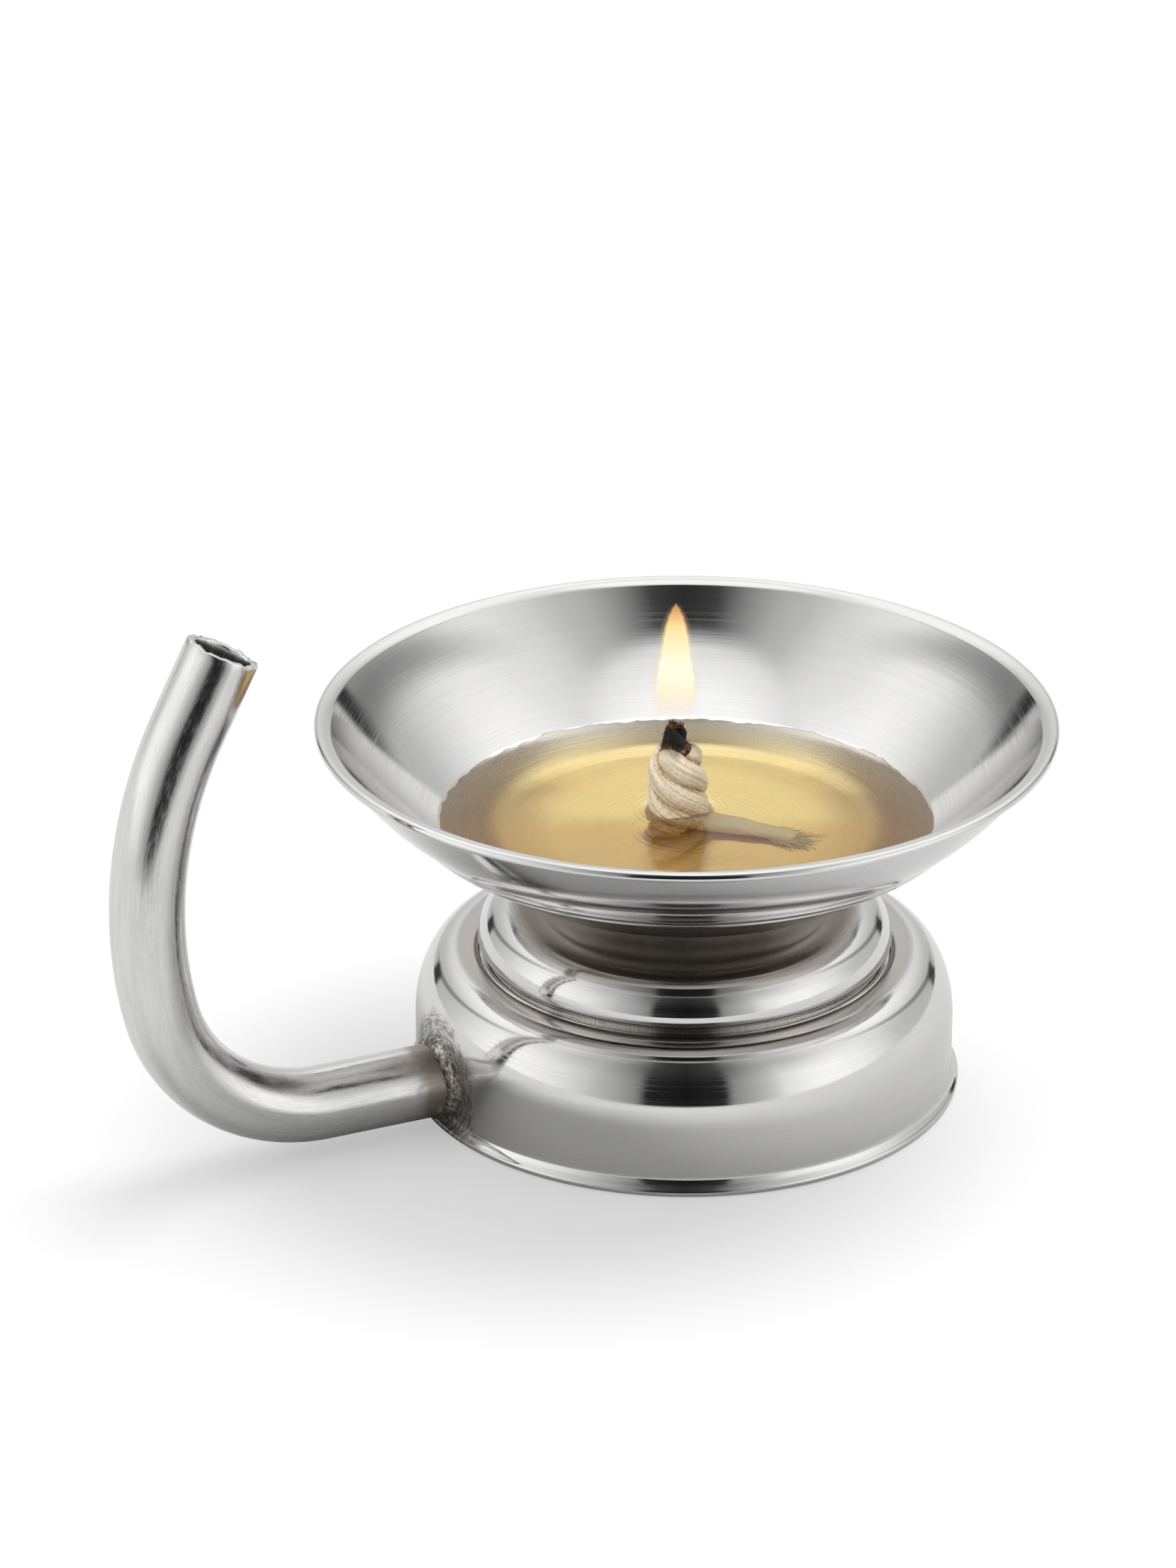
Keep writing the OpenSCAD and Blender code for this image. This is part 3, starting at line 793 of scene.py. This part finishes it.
def add_tube(verts, shades, faces, points, radii, sides=4, shade=0.6):
    """A thin closed tube, for one fibre."""
    start = len(verts)
    up = [Vector((0.3, 0.5, 0.81))] * len(points)
    for i, (p, on, a, b) in enumerate(strand_frames(points, up)):
        for j in range(sides):
            angle = 2 * math.pi * j / sides
            verts.append(p + (a * math.cos(angle) + b * math.sin(angle)) * radii[i])
            shades.append(shade)
    rows = len(points)
    for i in range(rows - 1):
        for j in range(sides):
            k = (j + 1) % sides
            q = start + i * sides
            faces.append((q + j, q + k, q + sides + k, q + sides + j))
    faces.append(tuple(start + j for j in range(sides))[::-1])
    faces.append(tuple(start + (rows - 1) * sides + j for j in range(sides)))


def close_tube(verts, shades, faces, rows, sides, start=0):
    """Faces of a twisted tube and its two ends."""
    for f in grid_faces(rows, sides):
        faces.append(tuple(start + v for v in f))
    for row in (0, rows - 1):
        ring = [start + row * sides + j for j in range(sides)]
        middle = sum((Vector(verts[v]) for v in ring), Vector((0, 0, 0))) / sides
        verts.append(middle)
        shades.append(0.4)
        for j in range(sides):
            faces.append((ring[j], ring[(j + 1) % sides], len(verts) - 1))


def finish_fibres(name, verts, faces, shades, slot, material, *replaced):
    piece = finish_mesh(name, verts, faces, "wick", slot, *replaced)
    layer = piece.data.attributes.new("shade", "FLOAT", "POINT")
    layer.data.foreach_set("value", shades)
    piece.data.materials.append(material)
    return piece


def stray_fibre(rng, start, along, out, length, radius):
    """Points of a fibre that leaves the cotton, curls and ends."""
    points = [start - out * 0.1]
    way = (along * rng.uniform(0.4, 1.0) + out * rng.uniform(0.1, 0.5)).normalized()
    bend = Vector((rng.uniform(-1, 1), rng.uniform(-1, 1), rng.uniform(-1, 1))) * 0.35
    steps = 6
    for i in range(steps):
        points.append(points[-1] + way * length / steps)
        way = (way + bend * 0.6 + Vector((rng.uniform(-1, 1), rng.uniform(-1, 1), rng.uniform(-1, 1))) * 0.12).normalized()
    radii = [radius * (1 - 0.7 * i / steps) for i in range(steps + 1)]
    return points, radii


def shade_grooves(verts, shades):
    """Painted shade: darkens the cotton where the plies lie against each other, in the grooves between them."""
    for i, v in enumerate(verts):
        middle = wick_middle(max(v.z, FLOOR_TOP))
        share = math.hypot(v.x - middle.x, v.y - middle.y) / eased_between(WICK_SHAPE, v.z - FLOOR_TOP)
        shades[i] -= 0.6 * min(1.0, max(0.0, (0.96 - share) / 0.3))


def wick_ply(index, material):
    path = ply_path(index, 0.0, WICK_L + 0.35, 150)
    points = [p for p, r, d in path]
    radii = [r for p, r, d in path]
    radii[-1] *= 0.8
    frames = strand_frames(points, [Vector((d.x, d.y, 0)) for p, r, d in path])
    sides = 72
    verts, shades = twisted_tube(frames, radii, sides, 1.7 * index + 0.4, 0.12)
    shade_grooves(verts, shades)
    faces = []
    close_tube(verts, shades, faces, len(frames), sides)
    rng = random.Random(40 + index)
    for n in range(230):
        i = rng.randint(4, len(frames) - 4)
        p, on, a, b = frames[i]
        angle = rng.uniform(-2.0, 2.0)
        out = a * math.cos(angle) + b * math.sin(angle)
        along = on * rng.choice((1, 1, -1)) + b * rng.uniform(-0.3, 0.3)
        hair, thin = stray_fibre(rng, p + out * radii[i], along, out, rng.uniform(0.5, 1.9), rng.uniform(0.016, 0.03))
        add_tube(verts, shades, faces, hair, thin, 3, rng.uniform(0.5, 1.0))
    return finish_fibres(f"wick_strand_{index + 1}", verts, faces, shades, "cotton", material,
                         f"wick_ply_{index + 1}")


def burnt_end(material):
    verts, shades, faces = [], [], []
    rng = random.Random(7)
    for index in range(3):
        path = ply_path(index, WICK_L - 0.5, WICK_L + CHAR_L - 1.7, 60)
        points = [p for p, r, d in path]
        frames = strand_frames(points, [Vector((d.x, d.y, 0)) for p, r, d in path])
        radii = []
        for i, (p, r, d) in enumerate(path):
            radii.append(r * (1.08 - 0.3 * (i / 60) ** 2))
        start = len(verts)
        tube_verts, tube_shades = twisted_tube(frames, radii, 60, 5.1 + index, 0.12, ridge=0.16, rough=0.12)
        verts += tube_verts
        shades += tube_shades
        close_tube(verts, shades, faces, len(frames), 60, start)
        # A frayed, brittle top
        top, on, a, b = frames[-1]
        for n in range(54):
            angle = rng.uniform(0, 2 * math.pi)
            share = math.sqrt(rng.uniform(0, 1)) * 0.9
            out = a * math.cos(angle) + b * math.sin(angle)
            hair, thin = stray_fibre(rng, top + out * radii[-1] * share, on * 2, out, rng.uniform(0.5, 1.0),
                                     rng.uniform(0.05, 0.12))
            add_tube(verts, shades, faces, hair, thin, 5, rng.uniform(0.3, 1.0))
        for n in range(60):
            i = rng.randint(2, 14) if n % 2 else rng.randint(2, 58)
            p, on, a, b = frames[i]
            angle = rng.uniform(-2.0, 2.0)
            out = a * math.cos(angle) + b * math.sin(angle)
            hair, thin = stray_fibre(rng, p + out * radii[i], on, out, rng.uniform(0.3, 0.8), rng.uniform(0.02, 0.045))
            add_tube(verts, shades, faces, hair, thin, 4, rng.uniform(0.1, 0.9))
    return finish_fibres("burnt_end", verts, faces, shades, "char", material, "wick_char")


def loose_end(material):
    """The loose end under the oil: a bundle that flattens and frays as it runs out over the floor."""
    rng = random.Random(19)
    verts, shades, faces = [], [], []
    d = polar(TAIL_ANGLE)
    side = Vector((-d.y, d.x))
    start = Vector(WICK) + d * (WICK_R - 1.6)
    steps = 60
    points, radii, squeeze = [], [], []
    for i in range(steps + 1):
        t = i / steps
        reach = (TAIL_L - 1.5) * t + 0.6
        sway = 0.55 * math.sin(2.2 * t)
        width = 2.55 - 0.75 * t + 0.2 * math.sin(6 * t)
        height = 1.7 - 0.75 * t
        p = start + d * reach + side * sway
        points.append(Vector((p.x, p.y, FLOOR_TOP + 0.1 + height)))
        radii.append(1.0 if i < steps else 0.5)
        squeeze.append((height, width))
    frames = strand_frames(points, [Vector((0, 0, 1))] * len(points))
    tube_verts, tube_shades = twisted_tube(frames, radii, 72, 9.3, 0.03, ridge=0.14, rough=0.1, squeeze=squeeze)
    verts += tube_verts
    shades += tube_shades
    close_tube(verts, shades, faces, len(frames), 72)
    for n in range(150):
        across = rng.uniform(-1, 1)
        base = points[rng.randint(int(steps * 0.72), steps)]
        hair = []
        length = rng.uniform(1.2, 3.6)
        lift = rng.uniform(0.1, 1.4)
        wave = rng.uniform(0, 6)
        for i in range(8):
            t = i / 7
            q = Vector((base.x, base.y)) + d * length * t + side * (across * (1.6 + 1.5 * t) + 0.25 * math.sin(wave + 5 * t))
            hair.append(Vector((q.x, q.y, FLOOR_TOP + 0.12 + lift * (1 - 0.6 * t) + 0.12 * math.sin(wave * 2 + 7 * t))))
        thick = rng.uniform(0.05, 0.13)
        add_tube(verts, shades, faces, hair, [thick * (1 - 0.5 * i / 7) for i in range(8)], 5, rng.uniform(0.5, 1.0))
    return finish_fibres("loose_end", verts, faces, shades, "cotton", material, "wick_tail")


def cotton_material(name="cotton", light=0.0):
    material, tree, out, place = new_material(name)
    shade = node(tree, "ShaderNodeAttribute", attribute_name="shade").outputs["Fac"]
    split = node(tree, "ShaderNodeSeparateXYZ", {0: place})
    speck = noise_at(tree, place, 2600, 3, 0.6)
    patch = noise_at(tree, place, 330, 3, 0.5)
    # The shade attribute carries the fibres' own tone and the painted shade in the grooves between the plies
    tone = maths(tree, "ADD", maths(tree, "MULTIPLY", shade, 0.8), maths(tree, "MULTIPLY", speck, 0.35))
    # light is painted light: it lifts the tone and pales the colour of cotton that gets too little light
    tone = maths(tree, "ADD", tone, light)
    dry = blend_colour(tree, fade(tree, tone, 0.0, 0.8), (0.46, 0.24, 0.07), (1.0, 0.91, 0.72))
    soaked = blend_colour(tree, fade(tree, tone, 0.0, 0.85), (0.42, 0.22, 0.05), (1.0, 0.86, 0.55))
    wet = fade(tree, maths(tree, "ADD", split.outputs[2], maths(tree, "MULTIPLY", patch, 0.003)),
               (OIL_H + 0.6) * MM, (OIL_H + 5.5) * MM, 0.55, 0.0)
    colour = blend_colour(tree, light, blend_colour(tree, wet, dry, soaked), (1.0, 0.94, 0.84))
    scorch = fade(tree, maths(tree, "ADD", split.outputs[2], maths(tree, "MULTIPLY", patch, 0.0035)),
                  (FLOOR_TOP + WICK_L + 0.6) * MM, (FLOOR_TOP + WICK_L + 2.8) * MM)
    colour = blend_colour(tree, scorch, colour, (0.10, 0.035, 0.012))
    relief = maths(tree, "ADD", speck, shade)
    bump = node(tree, "ShaderNodeBump", {"Height": relief, "Strength": 0.5, "Distance": 0.00006})
    shader = node(tree, "ShaderNodeBsdfPrincipled", {
        "Base Color": colour, "Roughness": fade(tree, tone, 0.2, 1.0, 0.95, 0.7),
        "Sheen Weight": 0.25, "Sheen Roughness": 0.4, "Subsurface Weight": 0.25, "Subsurface Scale": 0.0008,
        "Normal": bump.outputs[0]})
    shader.inputs["Subsurface Radius"].default_value = (1.0, 0.7, 0.4)
    tree.links.new(shader.outputs[0], out.inputs["Surface"])
    return material


def char_material():
    """Burnt cotton: brown where it starts and at its brittle top, black between."""
    material, tree, out, place = new_material("char")
    shade = node(tree, "ShaderNodeAttribute", attribute_name="shade").outputs["Fac"]
    split = node(tree, "ShaderNodeSeparateXYZ", {0: place})
    speck = noise_at(tree, place, 1900, 3, 0.6)
    patch = noise_at(tree, place, 700, 2, 0.5)
    height = maths(tree, "ADD", split.outputs[2], maths(tree, "MULTIPLY", maths(tree, "SUBTRACT", patch, 0.5), 0.0018))
    bottom = (FLOOR_TOP + WICK_L) * MM
    top = (FLOOR_TOP + WICK_L + CHAR_L) * MM
    low = fade(tree, height, bottom - 0.0003, bottom + 0.0011, 1.0, 0.0)
    high = fade(tree, height, top - 0.0017, top - 0.0007)
    streak = fade(tree, maths(tree, "ADD", shade, maths(tree, "MULTIPLY", speck, 0.6)), 0.55, 1.25)
    black = blend_colour(tree, streak, (0.004, 0.003, 0.004), (0.05, 0.04, 0.045))
    brown = blend_colour(tree, streak, (0.05, 0.012, 0.004), (0.42, 0.17, 0.06))
    colour = blend_colour(tree, maths(tree, "MAXIMUM", low, maths(tree, "MULTIPLY", high, 0.9)), black, brown)
    bump = node(tree, "ShaderNodeBump", {"Height": maths(tree, "ADD", shade, speck), "Strength": 0.6,
                                         "Distance": 0.0001})
    shader = node(tree, "ShaderNodeBsdfPrincipled", {
        "Base Color": colour, "Roughness": fade(tree, speck, 0.3, 0.7, 0.55, 0.95), "Normal": bump.outputs[0]})
    tree.links.new(shader.outputs[0], out.inputs["Surface"])
    return material


cotton = cotton_material()
plies = [wick_ply(ply, cotton) for ply in range(3)]
# Painted light: the loose end's cotton is painted paler, for the light that the oil keeps from it
loose_end(cotton_material("cotton_in_oil_painted_light", 0.6))
burnt_end(char_material())


# Flame.
# Half-width of the flame at heights above its foot
FLAME_SHAPE = ((0.0, 2.3), (1.0, 2.75), (2.4, 3.0), (4.2, 3.1), (5.8, 2.98), (7.4, 2.72), (9.4, 2.32),
               (11.4, 1.98), (13.2, 1.62), (14.6, 1.22), (15.8, 0.72), (16.7, 0.14))


def flame_ramp(tree, share, points):
    ramp = node(tree, "ShaderNodeValToRGB", {"Fac": share})
    for i, (at, colour) in enumerate(points):
        stop = ramp.color_ramp.elements[i] if i < 2 else ramp.color_ramp.elements.new(at)
        stop.position = at
        stop.color = (*colour, 1)
    return ramp.outputs[0]


def flame_material(name, colours, levels, strength):
    """A glow that is clear at the foot and the tip. The levels say how much of it hides what is behind."""
    material, tree, out, place = new_material(name)
    split = node(tree, "ShaderNodeSeparateXYZ", {0: place})
    foot = (FLOOR_TOP + WICK_L + CHAR_L) * MM
    share = node(tree, "ShaderNodeMapRange", {
        "Value": split.outputs[2], "From Min": foot, "From Max": foot + FLAME_H * MM}).outputs[0]
    solid = flame_ramp(tree, share, [(at, (level, level, level)) for at, level in levels])
    clear = node(tree, "ShaderNodeBsdfTransparent")
    bright = node(tree, "ShaderNodeEmission", {"Color": flame_ramp(tree, share, colours), "Strength": strength})
    both = node(tree, "ShaderNodeMixShader", {0: solid, 1: clear.outputs[0], 2: bright.outputs[0]})
    tree.links.new(both.outputs[0], out.inputs["Surface"])
    return material


def flame_shell(name, width, extra, material):
    """A skin of the flame: its outline drawn narrower or wider by a share and by a length."""
    foot = FLOOR_TOP + WICK_L + CHAR_L - 0.2
    rings, sides = 64, 64
    centre = wick_middle(FLOOR_TOP + WICK_L + CHAR_L * 0.4)
    verts = []
    for i in range(rings):
        t = i / (rings - 1)
        h = FLAME_SHAPE[-1][0] * t
        r = max(0.08, eased_between(FLAME_SHAPE, h) * width + extra)
        for j in range(sides):
            d = polar(360 * j / sides)
            verts.append((centre.x + d.x * r, centre.y + d.y * r, foot + h + extra * t))
    faces = grid_faces(rings, sides)
    faces.append(tuple(range(sides))[::-1])
    faces.append(tuple((rings - 1) * sides + j for j in range(sides)))
    piece = finish_mesh(name, verts, faces, "wick", "char")
    piece.data.materials.append(material)


flame_shell("flame", 0.86, -0.1, flame_material("flame", (
    (0.0, (0.90, 0.62, 0.40)), (0.14, (0.98, 0.80, 0.55)), (0.3, (1.0, 0.95, 0.70)), (0.45, (1.0, 0.99, 0.84)),
    (0.62, (1.0, 0.95, 0.64)), (0.8, (1.0, 0.82, 0.38)), (0.92, (0.95, 0.55, 0.22))), (
    (0.0, 0.0), (0.1, 0.16), (0.25, 0.6), (0.42, 0.92), (0.75, 0.85), (0.93, 0.3)), 1.08))
flame_shell("flame_skin", 0.95, 0.0, flame_material("flame_skin", (
    (0.0, (0.85, 0.50, 0.30)), (0.2, (0.98, 0.78, 0.50)), (0.45, (1.0, 0.88, 0.58)), (0.75, (1.0, 0.74, 0.34)),
    (0.95, (0.80, 0.36, 0.12))), (
    (0.0, 0.0), (0.1, 0.05), (0.3, 0.16), (0.7, 0.3), (0.9, 0.28), (1.0, 0.05)), 1.0))
flame_shell("flame_halo", 1.05, 0.2, flame_material("flame_halo", (
    (0.0, (0.9, 0.55, 0.35)), (0.5, (1.0, 0.74, 0.42)), (0.9, (0.9, 0.45, 0.18))), (
    (0.0, 0.0), (0.12, 0.02), (0.5, 0.045), (0.85, 0.06), (1.0, 0.0)), 1.0))


# Studio.
FLOOR_FRONT = 0.18


def studio_floor():
    """A white table top that ends in front of the lamp, where the room is dark. The key lights only the table."""
    mesh = bpy.data.meshes.new("floor")
    sides = []
    for x, y in ((-3, -FLOOR_FRONT), (3, -FLOOR_FRONT), (3, 3), (-3, 3)):
        sides.append((x * math.cos(TURN) + y * math.sin(TURN), y * math.cos(TURN) - x * math.sin(TURN), 0))
    mesh.from_pydata(sides, [], [(0, 1, 2, 3)])
    floor = bpy.data.objects.new("floor", mesh)
    bpy.context.scene.collection.objects.link(floor)
    material, tree, out, place = new_material("floor")
    seen = node(tree, "ShaderNodeLightPath").outputs["Is Camera Ray"]
    white = blend_colour(tree, seen, (0.61, 0.61, 0.61), (0.47, 0.47, 0.47))
    lit = node(tree, "ShaderNodeBsdfDiffuse", {"Color": white})
    pale = node(tree, "ShaderNodeEmission", {
        "Color": (1, 1, 1, 1), "Strength": maths(tree, "MULTIPLY", seen, 0.42)})
    both = node(tree, "ShaderNodeAddShader", {0: lit.outputs[0], 1: pale.outputs[0]})
    # The table is clear from below and inside the foot, so that the open underside shows
    below = node(tree, "ShaderNodeNewGeometry").outputs["Backfacing"]
    inside_foot = maths(tree, "LESS_THAN", length_of(tree, place), (DRUM_R - SHEET - 0.3) * MM)
    clear = node(tree, "ShaderNodeBsdfTransparent")
    one_way = node(tree, "ShaderNodeMixShader", {
        0: maths(tree, "MAXIMUM", below, inside_foot), 1: both.outputs[0], 2: clear.outputs[0]})
    tree.links.new(one_way.outputs[0], out.inputs["Surface"])
    mesh.materials.append(material)
    sun("key", 2.0, 38, (0.38, 0.38, 1.0), [floor])


def sun(name, energy, angle, towards, lit):
    """A lamp that lights only a few pieces. Its direction is seen from the front of the studio."""
    data = bpy.data.lights.new(name, "SUN")
    data.energy = energy
    data.angle = math.radians(angle)
    lamp = bpy.data.objects.new(name, data)
    bpy.context.scene.collection.objects.link(lamp)
    turn = Vector(towards).to_track_quat("Z", "Y").to_matrix().to_4x4()
    lamp.matrix_world = Matrix.Rotation(-TURN, 4, "Z") @ turn
    pieces = bpy.data.collections.new(f"lit_by_{name}")
    for piece in lit:
        pieces.objects.link(piece)
    lamp.light_linking.receiver_collection = pieces


def grey_ramp(tree, value, points):
    """A level that runs through a few (value, level) points, with values and levels from 0 to 1."""
    ramp = node(tree, "ShaderNodeValToRGB", {"Fac": value})
    for i, (at, level) in enumerate(points):
        stop = ramp.color_ramp.elements[i] if i < 2 else ramp.color_ramp.elements.new(at)
        stop.position = at
        stop.color = (level, level, level, 1)
    return ramp.outputs[0]


# How bright the tent is, by degrees from the back wall round to the camera
LOW_RIGHT = ((0, 0.76), (18, 0.68), (30, 0.62), (42, 0.60), (54, 0.62), (66, 0.64), (78, 0.72), (90, 0.98),
             (102, 1.20), (114, 1.28), (126, 1.22), (138, 1.02), (144, 0.72), (150, 0.54), (160, 0.34), (163.5, 0.02),
             (180, 0.01))
LOW_LEFT = ((0, 0.76), (18, 0.68), (30, 0.62), (42, 0.60), (54, 0.64), (66, 0.80), (78, 1.02), (90, 1.24),
            (102, 1.27), (114, 1.16), (126, 1.03), (138, 0.78), (144, 0.62), (150, 0.52), (160, 0.32), (163.5, 0.02),
            (180, 0.01))
HIGH = ((0, 1.25), (66, 1.26), (78, 1.18), (90, 1.06), (102, 0.98), (114, 0.85), (126, 0.66), (138, 0.56),
        (150, 0.36), (158, 0.2), (165, 0.06), (180, 0.03))
BRIGHTEST = 1.3


def tent_ramp(tree, turn, points):
    return grey_ramp(tree, maths(tree, "DIVIDE", turn, 180), [(at / 180, level / BRIGHTEST) for at, level in points])


def pick(tree, share, a, b):
    """The first level where the share is 0 and the second where it is 1."""
    return maths(tree, "ADD", maths(tree, "MULTIPLY", a, maths(tree, "SUBTRACT", 1, share)),
                 maths(tree, "MULTIPLY", b, share))


def dim(tree, level, share, depth):
    return maths(tree, "MULTIPLY", level, maths(tree, "SUBTRACT", 1, maths(tree, "MULTIPLY", share, depth)))


def studio_light():
    """A white tent, brightest overhead and at the sides, and open and dark where the camera stands."""
    world = bpy.data.worlds.new("studio")
    bpy.context.scene.world = world
    world.use_nodes = True
    tree = world.node_tree
    tree.nodes.clear()
    out = node(tree, "ShaderNodeOutputWorld")
    way = node(tree, "ShaderNodeTexCoord").outputs["Generated"]
    turned = node(tree, "ShaderNodeVectorRotate", {"Vector": way, "Angle": TURN}, rotation_type="Z_AXIS").outputs[0]
    split = node(tree, "ShaderNodeSeparateXYZ", {0: turned})
    # Degrees from the back wall round to the camera, and degrees above the table
    degree = math.degrees(1)
    turn = maths(tree, "MULTIPLY", maths(
        tree, "ARCTAN2", maths(tree, "ABSOLUTE", split.outputs[0]), split.outputs[1]), degree)
    rise = maths(tree, "MULTIPLY", maths(tree, "ARCSINE", split.outputs[2]), degree)
    low = pick(tree, fade(tree, split.outputs[0], -0.01, 0.01), tent_ramp(tree, turn, LOW_LEFT),
               tent_ramp(tree, turn, LOW_RIGHT))
    level = pick(tree, fade(tree, rise, 14, 48), low, tent_ramp(tree, turn, HIGH))
    level = pick(tree, fade(tree, rise, 61, 67), level, fade(tree, rise, 62, 78, 0.96 / BRIGHTEST, 1.0))
    # The gap between two cloths, and the fold that slants up from it
    gap_at = maths(tree, "SUBTRACT", 39, maths(tree, "MULTIPLY", rise, 0.22))
    gap = fade(tree, maths(tree, "ABSOLUTE", maths(tree, "SUBTRACT", turn, gap_at)), 3, 6.5, 1, 0)
    level = dim(tree, level, maths(tree, "MULTIPLY", gap, fade(tree, rise, 15, 7)), 0.92)
    fold_at = maths(tree, "SUBTRACT", maths(tree, "MULTIPLY", turn, 0.6), 13)
    fold = fade(tree, maths(tree, "ABSOLUTE", maths(tree, "SUBTRACT", rise, fold_at)), 0.5, 6, 1, 0)
    fold = maths(tree, "MULTIPLY", fold, fade(tree, turn, 66, 108, 1, 0))
    level = dim(tree, level, maths(tree, "MULTIPLY", fold, fade(tree, rise, 4, 9)), 0.56)
    level = maths(tree, "MULTIPLY", level, BRIGHTEST)
    seen = node(tree, "ShaderNodeLightPath").outputs["Is Camera Ray"]
    light = node(tree, "ShaderNodeBackground", {"Color": (1, 1, 1, 1), "Strength": pick(tree, seen, level, 1)})
    tree.links.new(light.outputs[0], out.inputs["Surface"])


def camera():
    """The photograph's view: 784 mm in front of the lamp and 398 mm up, looking down at 24 degrees."""
    data = bpy.data.cameras.new("camera")
    data.sensor_fit = "VERTICAL"
    data.sensor_height = 36.0
    data.lens = 9000 * 36 / 2212
    data.clip_start = 0.05
    data.clip_end = 20.0
    view = bpy.data.objects.new("camera", data)
    bpy.context.scene.collection.objects.link(view)
    forward = Vector((0, 0.9110, -0.4124)).normalized()
    right = Vector((1, 0, 0))
    up = right.cross(forward)
    roll = math.radians(0.096)
    right, up = (right * math.cos(roll) + up * math.sin(roll), up * math.cos(roll) - right * math.sin(roll))
    axes = Matrix((right, up, -forward)).transposed().to_4x4()
    place = Matrix.Translation(Vector((-13.20, -783.66, 397.82)) * MM)
    view.matrix_world = Matrix.Rotation(-TURN, 4, "Z") @ place @ axes
    bpy.context.scene.camera = view


studio_floor()
sun("fill", 1.1, 60, (-0.25, -0.9, 0.75), plies)
studio_light()
camera()
bpy.context.scene.view_settings.view_transform = "Standard"
